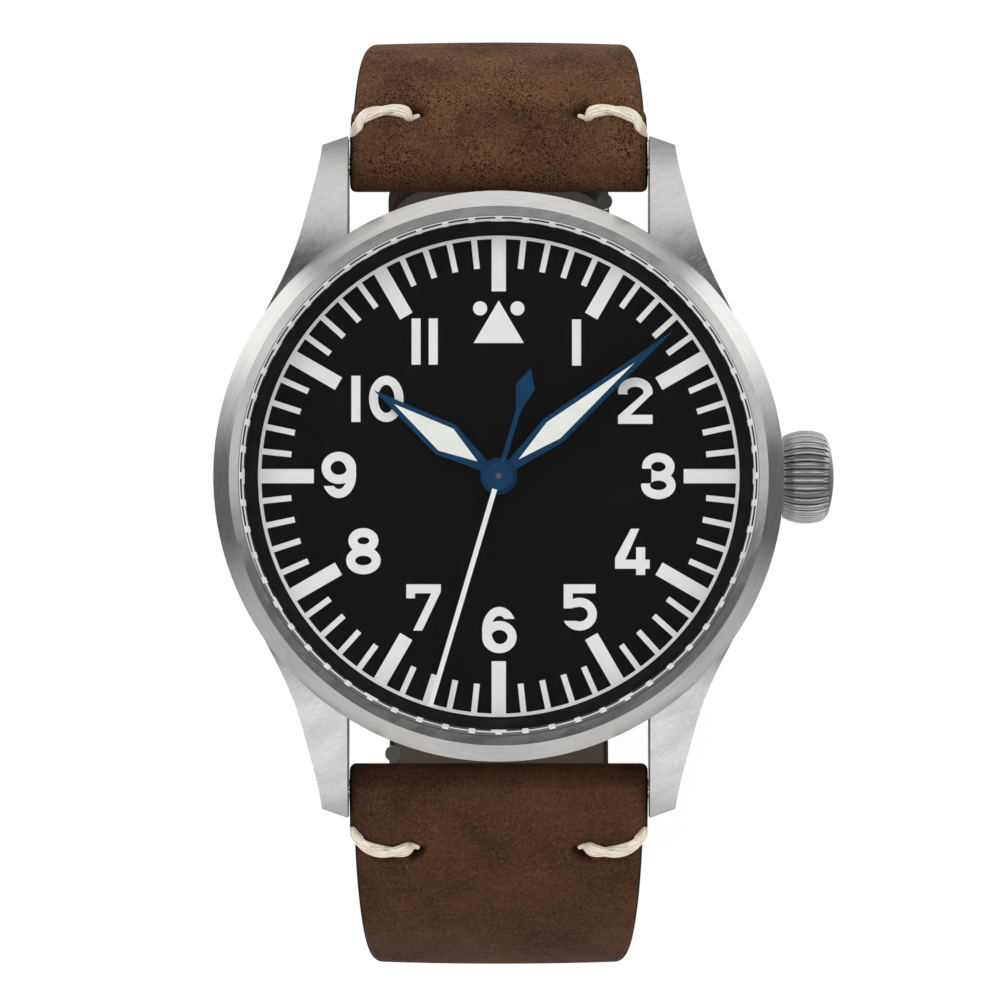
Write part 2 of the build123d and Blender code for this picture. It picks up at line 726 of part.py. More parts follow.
def toothed_rod(radius, start, end, teeth):
    """Face-toothed sleeve on the stem, its flutes along X."""
    solid = tube(radius, STEM_RADIUS + RUN, start, end)
    depth = radius * 0.16
    cuts = []
    for index in range(teeth):
        y, z = polar(radius, index * 360 / teeth)
        cuts.append(rod(depth, start - CUT, end + CUT, y, z))
    return Pos(0, 0, STEM_Z) * (solid - cuts)


save("winding_pinion", toothed_rod(PINION_RADIUS, PINION_X, PINION_X + PINION_LENGTH, CLUTCH_TEETH))
clutch_end = PINION_X - FREE
clutch = toothed_rod(PINION_RADIUS * 0.9, clutch_end - CLUTCH_LENGTH, clutch_end, CLUTCH_TEETH)
save("sliding_clutch", clutch)


# Wheels
def gear(teeth, module, low, high, bore, x=0.0, y=0.0, phase=0.0):
    """Spur wheel with straight-sided teeth; phase is the angle of a tooth."""
    pitch = 360 / teeth
    radius = module * teeth / 2
    tip = radius + module * 0.65
    root = radius - module
    # Shares of one pitch where a tooth leaves its root and reaches its tip
    outline_shares = ((-0.24, root), (-0.09, tip), (0.09, tip), (0.24, root))
    points = []
    for index in range(teeth):
        for share, reach in outline_shares:
            points.append(polar(reach, phase + (index + share) * pitch))
    solid = slab(points, low, high)
    if bore:
        solid -= disc(bore, low - CUT, high + CUT)
    return Pos(x, y, 0) * solid


def spoked(teeth, module, low, high, x=0.0, y=0.0, phase=0.0):
    """Spur wheel with four round windows."""
    radius = module * teeth / 2
    wheel = gear(teeth, module, low, high, 0, 0, 0, phase)
    window = radius * 0.27
    for index in range(4):
        wx, wy = polar(radius * 0.52, 45 + index * 90)
        wheel -= disc(window, low - CUT, high + CUT, wx, wy)
    return Pos(x, y, 0) * wheel


def mesh_phase(angle, driver_teeth, driver_phase, teeth):
    """Phase of a wheel whose tooth gap faces a driver's tooth.

    The driver sits at the start of the line of centres, which points along the
    given angle; the wheel sits at its end.
    """
    driver_pitch = 360 / driver_teeth
    lead = ((angle - driver_phase) / driver_pitch) % 1.0
    pitch = 360 / teeth
    return angle + 180 + (lead + 0.5) * pitch


third_x, third_y = polar(TRAIN_DISTANCE, THIRD_ANGLE)
center_module = 2 * TRAIN_DISTANCE / (CENTER_TEETH + THIRD_PINION_TEETH)
third_module = 2 * TRAIN_DISTANCE / (THIRD_TEETH + FOURTH_PINION_TEETH)
escape_distance = FOURTH_MODULE * (FOURTH_TEETH + ESCAPE_PINION_TEETH) / 2
escape_x, escape_y = polar(escape_distance, ESCAPE_ANGLE)
barrel_distance = BARREL_MODULE * (BARREL_TEETH + CENTER_PINION_TEETH) / 2
barrel_x, barrel_y = polar(barrel_distance, BARREL_ANGLE)
fork_x, fork_y = polar(FORK_DISTANCE, FORK_ANGLE, escape_x, escape_y)
balance_x, balance_y = polar(BALANCE_DISTANCE, BALANCE_ANGLE, fork_x, fork_y)
minute_x, minute_y = polar(MOTION_DISTANCE, MOTION_ANGLE)
cannon_module = 2 * MOTION_DISTANCE / (CANNON_TEETH + MINUTE_WHEEL_TEETH)
hour_module = 2 * MOTION_DISTANCE / (MINUTE_PINION_TEETH + HOUR_TEETH)
jewel_low = BRIDGE_TOP - JEWEL_THICK
jewel_high = PLATE_LOW + JEWEL_THICK

center = spoked(CENTER_TEETH, center_module, CENTER_Z, CENTER_Z + WHEEL_THICK)
pinion_end = CENTER_Z
center_low = BARREL_LOW + RUN
center += gear(CENTER_PINION_TEETH, BARREL_MODULE, center_low, pinion_end, 0)
center += disc(CENTER_ARBOR, pinion_end, minute_z - HAND_THICK)
center -= disc(FOURTH_ARBOR + RUN, 0, CASE_TOP + CUT)
save("center_wheel", center)

third_pinion_phase = mesh_phase(THIRD_ANGLE, CENTER_TEETH, 0, THIRD_PINION_TEETH)
third = spoked(THIRD_TEETH, third_module, THIRD_Z, THIRD_Z + WHEEL_THICK)
third += gear(
    THIRD_PINION_TEETH, center_module, THIRD_PINION_Z, THIRD_PINION_Z + PINION_THICK, 0, 0, 0, third_pinion_phase
)
third += disc(ARBOR, jewel_low, jewel_high)
save("third_wheel", Pos(third_x, third_y, 0) * third)

fourth_pinion_phase = mesh_phase(THIRD_ANGLE + 180, THIRD_TEETH, 0, FOURTH_PINION_TEETH)
fourth = spoked(FOURTH_TEETH, FOURTH_MODULE, FOURTH_Z, FOURTH_Z + WHEEL_THICK)
fourth += gear(
    FOURTH_PINION_TEETH, third_module, FOURTH_PINION_Z, FOURTH_PINION_Z + PINION_THICK, 0, 0, 0,
    fourth_pinion_phase
)
fourth += disc(ARBOR, jewel_low, FOURTH_Z)
fourth += disc(FOURTH_ARBOR, FOURTH_Z, seconds_z + CAP_RISE)
save("fourth_wheel", fourth)

escape_pinion_phase = mesh_phase(ESCAPE_ANGLE, FOURTH_TEETH, 0, ESCAPE_PINION_TEETH)
escape_points = []
for index in range(ESCAPE_WHEEL_TEETH):
    start = index * 360 / ESCAPE_WHEEL_TEETH
    for share, reach in ((0.0, 1.0), (0.12, 0.98), (0.3, 0.8), (0.75, 0.76), (0.92, 0.82)):
        escape_points.append(polar(ESCAPE_RADIUS * reach, start + share * 360 / ESCAPE_WHEEL_TEETH))
escape = slab(escape_points, ESCAPE_Z, ESCAPE_Z + WHEEL_THICK)
for index in range(4):
    wx, wy = polar(ESCAPE_RADIUS * 0.45, 45 + index * 90)
    escape -= disc(ESCAPE_RADIUS * 0.2, ESCAPE_Z - CUT, ESCAPE_Z + CUT, wx, wy)
escape += gear(
    ESCAPE_PINION_TEETH, FOURTH_MODULE, ESCAPE_PINION_Z, ESCAPE_PINION_Z + PINION_THICK, 0, 0, 0,
    escape_pinion_phase
)
escape += disc(ARBOR, jewel_low, jewel_high)
save("escape_wheel", Pos(escape_x, escape_y, 0) * escape)

barrel_phase = mesh_phase(BARREL_ANGLE, CENTER_PINION_TEETH, 0, BARREL_TEETH)
barrel_pitch_radius = BARREL_MODULE * BARREL_TEETH / 2
drum_radius = barrel_pitch_radius - BARREL_MODULE * 2
arbor_clear = BARREL_ARBOR + RUN
barrel = gear(
    BARREL_TEETH, BARREL_MODULE, BARREL_TOOTH_Z, BARREL_TOOTH_Z + PINION_THICK / 2, drum_radius - BARREL_WALL,
    0, 0, barrel_phase
)
barrel += ring(drum_radius, arbor_clear, BARREL_LOW, BARREL_LOW + BARREL_WALL / 2)
barrel += ring(drum_radius, arbor_clear, BARREL_HIGH - BARREL_WALL / 2, BARREL_HIGH)
barrel += ring(drum_radius, drum_radius - BARREL_WALL, BARREL_LOW, BARREL_HIGH)
save("barrel_drum", Pos(barrel_x, barrel_y, 0) * barrel)


def spiral(inner, outer, turns, wire, low, high):
    """Flat coiled strip: two edges half a wire from a steady spiral."""
    steps = turns * 12
    inside = []
    outside = []
    for index in range(steps + 1):
        angle = 360.0 * turns * index / steps
        reach = inner + (outer - inner) * index / steps
        inside.append(polar(reach - wire / 2, angle))
        outside.append(polar(reach + wire / 2, angle))
    edges = Spline(*inside) + Line(inside[-1], outside[-1]) + Spline(*outside) + Line(outside[0], inside[0])
    return Pos(0, 0, low) * extrude(make_face(edges), high - low, dir=(0, 0, 1))


spring_low = BARREL_LOW + BARREL_WALL / 2 + RUN
spring_high = BARREL_HIGH - BARREL_WALL / 2 - RUN
mainspring = spiral(
    arbor_clear + MAINSPRING_WIRE, drum_radius - BARREL_WALL - MAINSPRING_WIRE / 2, MAINSPRING_TURNS,
    MAINSPRING_WIRE, spring_low, spring_high
)
save("mainspring", Pos(barrel_x, barrel_y, 0) * mainspring)

fork_end = BALANCE_DISTANCE - ROLLER_RADIUS - FREE * 3
fork_turn = Rot(0, 0, BALANCE_ANGLE)
fork = block(0, fork_end, -FORK_HALF, FORK_HALF, FORK_Z, FORK_Z + WHEEL_THICK)
fork += block(fork_end - STONE, fork_end, -FORK_HALF * 3, FORK_HALF * 3, FORK_Z, FORK_Z + WHEEL_THICK)
fork -= block(fork_end - STONE / 2, fork_end + CUT, -FORK_HALF, FORK_HALF, FORK_Z - CUT, FORK_Z + CUT)
fork = fork_turn * fork
arm_span = block(-FORK_HALF, FORK_HALF, -FORK_ARM, FORK_ARM, FORK_Z, FORK_Z + WHEEL_THICK)
for side in (-1, 1):
    tip_y = side * FORK_ARM
    arm_span += block(-STONE * 1.6, 0, min(tip_y, tip_y - side * STONE), max(tip_y, tip_y - side * STONE),
                      FORK_Z, FORK_Z + WHEEL_THICK)
fork += Rot(0, 0, FORK_ANGLE) * arm_span
fork += disc(ARBOR, BALANCE_Z + BALANCE_THICK + FREE, jewel_high)
save("pallet_fork", Pos(fork_x, fork_y, 0) * fork)

balance = ring(BALANCE_RADIUS, BALANCE_RADIUS - BALANCE_WALL, BALANCE_Z, BALANCE_Z + BALANCE_THICK)
spoke = BALANCE_RADIUS - BALANCE_WALL / 2
balance += block(-spoke, spoke, -BALANCE_WALL / 2, BALANCE_WALL / 2, BALANCE_Z, BALANCE_Z + BALANCE_THICK)
staff_low = BRIDGE_LOW + RUN
balance += disc(ARBOR, staff_low, jewel_high)
balance += disc(ROLLER_RADIUS, ROLLER_Z, ROLLER_Z + WHEEL_THICK)
pin_x, pin_y = polar(ROLLER_RADIUS * 0.75, BALANCE_ANGLE + 180)
balance += disc(ARBOR / 2, ROLLER_Z, FORK_Z + WHEEL_THICK, pin_x, pin_y)
save("balance_wheel", Pos(balance_x, balance_y, 0) * balance)
hairspring = spiral(
    HAIRSPRING_INNER, HAIRSPRING_OUTER, HAIRSPRING_TURNS, HAIRSPRING_WIRE, HAIRSPRING_Z,
    HAIRSPRING_Z + HAIRSPRING_THICK
)
save("hairspring", Pos(balance_x, balance_y, 0) * hairspring)

cannon = gear(CANNON_TEETH, cannon_module, CANNON_Z, CANNON_Z + PINION_THICK / 2, 0)
cannon += disc(CANNON_PIPE, CANNON_Z, minute_z + HAND_THICK)
cannon -= disc(CENTER_ARBOR, CANNON_Z - CUT, minute_z - HAND_THICK)
cannon -= disc(FOURTH_ARBOR + RUN, CANNON_Z - CUT, CASE_TOP + CUT)
save("cannon_pinion", cannon)
minute_phase = mesh_phase(MOTION_ANGLE, CANNON_TEETH, 0, MINUTE_WHEEL_TEETH)
minute_wheel = spoked(
    MINUTE_WHEEL_TEETH, cannon_module, MINUTE_WHEEL_Z, MINUTE_WHEEL_Z + WHEEL_THICK, 0, 0, minute_phase
)
minute_wheel += gear(
    MINUTE_PINION_TEETH, hour_module, MINUTE_PINION_Z - FREE, MINUTE_PINION_Z + PINION_THICK / 2, 0
)
minute_wheel -= disc(ARBOR + RUN, PLATE_TOP, CASE_TOP)
save("minute_wheel", Pos(minute_x, minute_y, 0) * minute_wheel)
hour_phase = mesh_phase(MOTION_ANGLE + 180, MINUTE_PINION_TEETH, 0, HOUR_TEETH)
hour_wheel = gear(HOUR_TEETH, hour_module, HOUR_Z, HOUR_Z + WHEEL_THICK / 2, 0, 0, 0, hour_phase)
hour_wheel += disc(HOUR_PIPE, HOUR_Z, hour_z + HAND_THICK)
hour_wheel -= disc(CANNON_PIPE + RUN, HOUR_Z - CUT, CASE_TOP + CUT)
save("hour_wheel", hour_wheel)

# Winding wheels on the bridge side
crown_reach = hypot(CROWN_WHEEL_X - barrel_x, CROWN_WHEEL_Y - barrel_y)
crown_angle = degrees(atan2(CROWN_WHEEL_Y - barrel_y, CROWN_WHEEL_X - barrel_x))
wind_module = 2 * crown_reach / (CROWN_WHEEL_TEETH + RATCHET_TEETH)
wind_top = WIND_Z + WIND_THICK
crown_wheel_phase = mesh_phase(crown_angle, RATCHET_TEETH, 0, CROWN_WHEEL_TEETH)
crown_wheel = gear(
    CROWN_WHEEL_TEETH, wind_module, WIND_Z, wind_top, POST_RADIUS + RUN, 0, 0, crown_wheel_phase
)
crown_wheel += ring(CONTRATE_OUTER, CONTRATE_INNER, wind_top, CONTRATE_TOP)
save("crown_wheel", Pos(CROWN_WHEEL_X, CROWN_WHEEL_Y, 0) * crown_wheel)
ratchet = gear(RATCHET_TEETH, wind_module, WIND_Z, wind_top, 0)
ratchet += disc(BARREL_ARBOR, WIND_Z, BARREL_HIGH + FREE)
save("ratchet_wheel", Pos(barrel_x, barrel_y, 0) * ratchet)
ratchet_tip = wind_module * (RATCHET_TEETH / 2 + 0.65)
click_x, click_y = polar(ratchet_tip + FREE, 200, barrel_x, barrel_y)
click = block(0, CLICK_LENGTH, -CLICK_HALF, CLICK_HALF, WIND_Z, BRIDGE_LOW)
click = Pos(click_x, click_y, 0) * Rot(0, 0, 250) * Pos(0, CLICK_HALF, 0) * click
save("click", click)

# Plates, bridges, jewels and screws
crown_post = disc(POST_RADIUS, WIND_Z, PLATE_LOW, CROWN_WHEEL_X, CROWN_WHEEL_Y)
plate = disc(MOVEMENT_RADIUS, PLATE_LOW, PLATE_TOP)
plate += ring(MOVEMENT_RADIUS, MOVEMENT_RADIUS - RIM_WALL, BRIDGE_TOP, PLATE_LOW)
plate += crown_post
plate += disc(ARBOR, PLATE_TOP, MINUTE_PINION_Z + PINION_THICK / 2, minute_x, minute_y)
plate -= disc(CENTER_ARBOR + RUN, PLATE_LOW - CUT, PLATE_TOP + CUT)
clutch_room = PINION_RADIUS + FREE
keyless_low = clutch_end - CLUTCH_LENGTH - FREE
keyless_high = PINION_X + PINION_LENGTH + FREE
plate -= block(keyless_low, keyless_high, -clutch_room, clutch_room, BRIDGE_TOP, STEM_Z + clutch_room)
plate -= rod(STEM_RADIUS + RUN, STEM_INNER_X - FREE, MOVEMENT_RADIUS + CUT, 0, STEM_Z)
jewels = []
train_places = ((third_x, third_y), (escape_x, escape_y), (fork_x, fork_y), (balance_x, balance_y))
for x, y in train_places:
    plate -= disc(JEWEL_RADIUS, PLATE_LOW - CUT, jewel_high, x, y)
    jewels.append(ring(JEWEL_RADIUS, JEWEL_BORE, PLATE_LOW, jewel_high, x, y))
save("main_plate", plate)

blank = disc(MOVEMENT_RADIUS, BRIDGE_LOW, BRIDGE_TOP)
wide = MOVEMENT_RADIUS + CUT
half_split = FREE / 2
upper_half = block(-wide, wide, BRIDGE_SPLIT_Y + half_split, wide, 0, CASE_TOP)
lower_half = block(-wide, wide, -wide, BRIDGE_SPLIT_Y - half_split, 0, CASE_TOP)
contrate_room = disc(CONTRATE_OUTER + FREE, 0, CASE_TOP, CROWN_WHEEL_X, CROWN_WHEEL_Y)
barrel_bridge = blank & upper_half
barrel_bridge -= contrate_room
barrel_bridge -= disc(BARREL_ARBOR + RUN, 0, CASE_TOP, barrel_x, barrel_y)
barrel_bridge += disc(ROTOR_PIN, ROTOR_LOW, BRIDGE_LOW)
barrel_bridge -= disc(JEWEL_RADIUS, jewel_low, CASE_TOP)
jewels.append(ring(JEWEL_RADIUS, JEWEL_BORE, jewel_low, BRIDGE_TOP))
balance_room = disc(BALANCE_RADIUS + FREE * 2, 0, CASE_TOP, balance_x, balance_y)
train_bridge = (blank & lower_half) - balance_room - contrate_room
for x, y in train_places[:2]:
    train_bridge -= disc(JEWEL_RADIUS, jewel_low, CASE_TOP, x, y)
    jewels.append(ring(JEWEL_RADIUS, JEWEL_BORE, jewel_low, BRIDGE_TOP, x, y))
cock_arm = BALANCE_WALL * 2.5
cock_angle = degrees(atan2(balance_y, balance_x))
cock_turn = Pos(balance_x, balance_y, 0) * Rot(0, 0, cock_angle)
cock = block(0, MOVEMENT_RADIUS, -cock_arm, cock_arm, BRIDGE_LOW, COCK_TOP)
foot_start = BALANCE_RADIUS + FREE * 4
cock += block(foot_start, MOVEMENT_RADIUS, -cock_arm, cock_arm, COCK_TOP, BRIDGE_TOP)
cock += disc(cock_arm, BRIDGE_LOW, COCK_TOP)
cock = (cock_turn * cock) & disc(MOVEMENT_RADIUS, BRIDGE_LOW, BRIDGE_TOP)
cock -= disc(JEWEL_BORE, 0, CASE_TOP, balance_x, balance_y)
cock_room = cock_arm + FREE / 2
train_bridge -= cock_turn * block(0, MOVEMENT_RADIUS, -cock_room, cock_room, 0, CASE_TOP)

save("barrel_bridge", barrel_bridge)
save("train_bridge", train_bridge)
save("balance_cock", cock)
save("jewels", *jewels)

screws = []
for angle in (45, 100, 160, 195, 300, 350):
    x, y = polar(SCREW_RING, angle)
    screws.append(disc(SCREW_HEAD, BRIDGE_LOW - SCREW_HEAD_THICK, BRIDGE_LOW, x, y))
save("bridge_screws", *screws)

rotor = ring(ROTOR_RADIUS, ROTOR_RADIUS - ROTOR_WEIGHT_WALL, ROTOR_LOW, ROTOR_TOP)
rotor += disc(ROTOR_RADIUS - ROTOR_WEIGHT_WALL, ROTOR_LOW, ROTOR_WEB_TOP)
rotor = rotor & block(-wide, wide, -wide, 0, 0, CASE_TOP)
rotor += disc(ROTOR_HUB, ROTOR_LOW, ROTOR_WEB_TOP)
rotor -= disc(ROTOR_PIN + RUN, 0, CASE_TOP)
save("rotor", rotor)

# Strap. A path is a list of (y, z) points that runs down the middle of the leather
short_wide = BAR_Y + SHORT_BULGE - STRAP_WIDE_THICK / 2
long_wide = BAR_Y + LONG_BULGE - STRAP_WIDE_THICK / 2


def quarter(mid_y, mid_z, reach_y, reach_z, start, end):
    """Closely spaced points on part of an ellipse, angles in degrees."""
    steps = 40
    points = []
    for index in range(steps + 1):
        angle = radians(start + (end - start) * index / steps)
        points.append((mid_y + reach_y * cos(angle), mid_z + reach_z * sin(angle)))
    return points


def station(path, length):
    """Place and unit direction at a running length along a path."""
    run = 0.0
    for (y0, z0), (y1, z1) in zip(path, path[1:]):
        step = hypot(y1 - y0, z1 - z0)
        if step and (run + step >= length or (y1, z1) == path[-1]):
            part = (length - run) / step
            return y0 + (y1 - y0) * part, z0 + (z1 - z0) * part, (y1 - y0) / step, (z1 - z0) / step
        run += step
    return path[-1][0], path[-1][1], 0.0, 0.0


def path_length(path):
    """Running length of a whole path."""
    return sum(hypot(b[0] - a[0], b[1] - a[1]) for a, b in zip(path, path[1:]))


# From the bar over the lug fold, down the side and along the bottom
fold_height = BAR_Z - LOOP_WIDE_Z
short_side = short_wide - LOOP_FLAT_HALF
long_side = long_wide - LOOP_FLAT_HALF
side_drop = LOOP_WIDE_Z - LOOP_LOW_Z
short_path = quarter(BAR_Y, LOOP_WIDE_Z, short_wide - BAR_Y, fold_height, 90, 0)
short_path += quarter(LOOP_FLAT_HALF, LOOP_WIDE_Z, short_side, side_drop, 0, -90)[1:]
fold_length = path_length(short_path[:41])
short_path.append((BUCKLE_Y, LOOP_LOW_Z))
short_length = path_length(short_path)
long_length = short_length + TAIL_LENGTH
inner_drop = side_drop - LAYER_GAP
long_path = quarter(-BAR_Y, LOOP_WIDE_Z, long_wide - BAR_Y, fold_height, 90, 180)
long_path += quarter(-LOOP_FLAT_HALF, LOOP_WIDE_Z, long_side, inner_drop, 180, 270)[1:]
long_path += quarter(LOOP_FLAT_HALF, LOOP_WIDE_Z, short_side - LAYER_GAP, inner_drop, -90, 0)
thin_length = 2.5 * fold_length


def thickness(length):
    """Thickness of the strap at a running length from its bar."""
    if length < fold_length:
        return STRAP_ROOT_THICK + (STRAP_WIDE_THICK - STRAP_ROOT_THICK) * length / fold_length
    share = min((length - fold_length) / (thin_length - fold_length), 1.0)
    return STRAP_WIDE_THICK + (STRAP_END_THICK - STRAP_WIDE_THICK) * share


def offset_point(path, turn, length, out):
    """Point at a distance outward of the path; turn is -1 on the long half."""
    y, z, run_y, run_z = station(path, length)
    return (y - turn * run_z * out, z + turn * run_y * out)


def layer(path, turn, start, end, top, low):
    """Strip between two distances from the path, given as shares of the half thickness plus a size."""
    count = round((end - start) / LAYER_STEP)
    outside = []
    inside = []
    for index in range(count + 1):
        length = start + (end - start) * index / count
        half = thickness(length) / 2
        outside.append(offset_point(path, turn, length, half * top[0] + top[1]))
        inside.append(offset_point(path, turn, length, half * low[0] + low[1]))
    edges = Spline(*outside) + Line(outside[-1], inside[-1]) + Spline(*inside) + Line(inside[0], outside[0])
    face = Plane.YZ * make_face(edges)
    return extrude(face, LUG_GAP / 2, both=True)


root_width = LUG_GAP - 2 * STRAP_GAP


def strap_sides(top, bottom, tip):
    """Tapering width of the strap seen along Y, with a pointed end where it has a tip."""
    right = [(root_width / 2, top), (root_width / 2, BAR_Z), (STRAP_WIDE_WIDTH / 2, LOOP_WIDE_Z),
             (STRAP_END_WIDTH / 2, STRAP_END_Z), (STRAP_END_WIDTH / 2, bottom)]
    if tip:
        right = [(TIP_HALF, top), (STRAP_END_WIDTH / 2, top - TIP_LENGTH), (STRAP_END_WIDTH / 2, bottom)]
    left = [(-x, z) for x, z in reversed(right)]
    face = Plane.XZ * make_face(Polyline(*right, *left, close=True))
    return face


strap_top = BAR_Z + STRAP_ROOT_THICK
strap_bottom = LOOP_LOW_Z - STRAP_ROOT_THICK
lining_start = fold_length * 0.4
full = (1, 0)
under = (-1, 0)
lining_top = (-1, LINING_THICK)
lining_low = (-1, -CUT / 2)


def strap_half(path, turn, bar_y, length):
    """Leather and lining of one half, folded round its spring bar."""
    width_face = strap_sides(strap_top, strap_bottom, False)
    taper = extrude(width_face, LOOP_HALF + CUT, both=True)
    band = layer(path, turn, 0, length, full, under)
    band += rod(STRAP_ROOT_THICK / 2, -LUG_GAP / 2, LUG_GAP / 2, bar_y, BAR_Z)
    band = band & taper
    backing = layer(path, turn, lining_start, length + CUT, lining_top, lining_low)
    lining = band & backing
    leather = band - backing
    leather -= rod(BAR_RADIUS + RUN, -LUG_GAP, LUG_GAP, bar_y, BAR_Z)
    knob_x = KNOB_X * turn
    slot_low = min(knob_x - turn * KNOB_TRAVEL, knob_x) - KNOB_POST - FREE
    slot_high = max(knob_x - turn * KNOB_TRAVEL, knob_x) + KNOB_POST + FREE
    slot_y0 = min(bar_y, bar_y - turn * STRAP_ROOT_THICK)
    slot_y1 = max(bar_y, bar_y - turn * STRAP_ROOT_THICK)
    slot_half = KNOB_POST + FREE
    leather -= block(slot_low, slot_high, slot_y0, slot_y1, BAR_Z - slot_half, BAR_Z + slot_half)
    return leather, lining


def stitch(path, turn, side, radius):
    """One heavy stitch: an arc on the strap's outer face from its hole to the strap's edge."""
    points = []
    rise = STITCH_RADIUS * 0.4
    further = 0 if turn > 0 else LONG_STITCH_SET
    for x, place in ((STITCH_HOLE_X, STITCH_START), (STITCH_PEAK_X, STITCH_PEAK), (STITCH_EDGE_X, STITCH_EDGE)):
        length = place + further
        y, z = offset_point(path, turn, length, thickness(length) / 2 + rise)
        points.append((side * x, y, z))
    route = ThreePointArc(*points)
    start = Plane(origin=route @ 0, z_dir=route % 0)
    return sweep(start * Circle(radius), path=route)


short_leather, short_lining = strap_half(short_path, 1, BAR_Y, short_length)
long_leather, long_lining = strap_half(long_path, -1, -BAR_Y, long_length)
short_stitches = []
long_stitches = []
for side in (-1, 1):
    short_leather -= stitch(short_path, 1, side, STITCH_RADIUS + RUN)
    long_leather -= stitch(long_path, -1, side, STITCH_RADIUS + RUN)
    short_stitches.append(stitch(short_path, 1, side, STITCH_RADIUS))
    long_stitches.append(stitch(long_path, -1, side, STITCH_RADIUS))
save("stitches_short", *short_stitches)
save("stitches_long", *long_stitches)

# Buckle end of the short half: a fold round the buckle bar, slotted for the tang
fold_bore = BUCKLE_BAR_RADIUS + FREE
end_half = STRAP_END_WIDTH / 2
short_end = rod(BUCKLE_FOLD, -end_half, end_half, BUCKLE_Y, LOOP_LOW_Z)
short_leather += short_end
slot_reach = BUCKLE_FOLD + FREE
short_lining -= rod(BUCKLE_FOLD, -LUG_GAP, LUG_GAP, BUCKLE_Y, LOOP_LOW_Z)
short_leather -= rod(fold_bore, -LUG_GAP, LUG_GAP, BUCKLE_Y, LOOP_LOW_Z)
short_leather -= block(
    -TANG_SLOT / 2, TANG_SLOT / 2, BUCKLE_Y - slot_reach, BUCKLE_Y + TANG_SLOT_REACH,
    LOOP_LOW_Z - slot_reach, LOOP_LOW_Z + slot_reach
)
save("strap_short", short_leather)
save("strap_short_lining", short_lining)

# Tail of the long half: a pointed tip and a row of holes
tail_z = station(long_path, long_length)[1]
tip_face = strap_sides(tail_z, strap_bottom, True)
tail_keep = extrude(tip_face, LOOP_HALF + CUT, both=True)
tail_keep += block(-LUG_GAP, LUG_GAP, -LOOP_HALF - CUT, 0, strap_bottom, strap_top)
long_leather = long_leather & tail_keep
long_lining = long_lining & tail_keep
for index in range(HOLE_COUNT):
    y, z, run_y, run_z = station(long_path, short_length - HOLES_BACK + index * HOLE_PITCH)
    hole_plane = Plane(origin=(0, y, z), z_dir=(0, run_z, -run_y))
    hole = extrude(hole_plane * Circle(HOLE_RADIUS), STRAP_END_THICK, both=True)
    long_leather -= hole
    long_lining -= hole
save("strap_long", long_leather)
save("strap_long_lining", long_lining)

# Spring bars with a sliding pin and its knob
bar_end = LUG_GAP / 2 - RUN
pin_tip = LUG_GAP / 2 + BAR_PIN_DEPTH
pin_start = KNOB_X - KNOB_POST * 4


def spring_bar(turn):
    """Hollow bar with one fixed pin, for the sliding pin at +X before it is turned."""
    bar = rod(BAR_RADIUS, -bar_end, bar_end) + rod(BAR_PIN_RADIUS, -pin_tip, -bar_end)
    bore_start = pin_start - KNOB_TRAVEL - FREE
    bar -= rod(BAR_PIN_RADIUS + RUN, bore_start, bar_end + CUT)
    slot_low = KNOB_X - KNOB_TRAVEL - KNOB_POST - FREE
    slot_high = KNOB_X + KNOB_POST + FREE
    slot_half = KNOB_POST + RUN
    bar -= block(slot_low, slot_high, -BAR_RADIUS - CUT, 0, -slot_half, slot_half)
    return Pos(0, turn * BAR_Y, BAR_Z) * Rot(0, 0, 0 if turn > 0 else 180) * bar


def release_pin(turn):
    """Sliding pin with a post to its round knob."""
    pin = rod(BAR_PIN_RADIUS, pin_start, pin_tip)
    half = KNOB_POST
    pin += block(KNOB_X - half, KNOB_X + half, -KNOB_REACH, 0, -half, half)
    pin += disc(KNOB_RADIUS, -KNOB_HEIGHT / 2, KNOB_HEIGHT / 2, KNOB_X, -KNOB_REACH)
    return Pos(0, turn * BAR_Y, BAR_Z) * Rot(0, 0, 0 if turn > 0 else 180) * pin


save("spring_bar_12", spring_bar(1))
save("spring_bar_6", spring_bar(-1))
save("release_pin_12", release_pin(1))
save("release_pin_6", release_pin(-1))

# Buckle
frame_inner = end_half + FRAME_GAP
frame_outer = frame_inner + FRAME_SIDE
frame_far = BUCKLE_Y - FRAME_REACH
frame_low = LOOP_LOW_Z - FRAME_THICK / 2
frame_high = LOOP_LOW_Z + FRAME_THICK / 2
frame = block(-frame_outer, frame_outer, frame_far, BUCKLE_Y + EAR_BACK, frame_low, frame_high)
frame = fillet(frame.edges().filter_by(Axis.Z).group_by(Axis.Y)[0], FRAME_BAR)
frame = fillet(frame.edges().filter_by(Axis.Z).group_by(Axis.Y)[-1], FRAME_SIDE / 3)
frame = chamfer(frame.faces().sort_by(Axis.Z)[0].edges(), FRAME_EDGE)
frame -= block(
    -frame_inner, frame_inner, frame_far + FRAME_BAR, BUCKLE_Y + EAR_BACK + CUT, frame_low - CUT, frame_high + CUT
)
frame -= rod(BUCKLE_BAR_RADIUS, -LUG_GAP, LUG_GAP, BUCKLE_Y, LOOP_LOW_Z)
save("buckle_frame", frame)
save("buckle_bar", rod(BUCKLE_BAR_RADIUS, -frame_outer, frame_outer, BUCKLE_Y, LOOP_LOW_Z))
tang_hub = BUCKLE_FOLD - RUN
tang_top = frame_low - RUN
tang = rod(tang_hub, -TANG_WIDTH / 2, TANG_WIDTH / 2, BUCKLE_Y, LOOP_LOW_Z)
blade_half = TANG_WIDTH / 2
tang += block(-blade_half, blade_half, frame_far - FRAME_EDGE, BUCKLE_Y, tang_top - TANG_THICK, tang_top)
tang -= rod(BUCKLE_BAR_RADIUS + RUN, -LUG_GAP, LUG_GAP, BUCKLE_Y, LOOP_LOW_Z)
save("buckle_tang", tang)


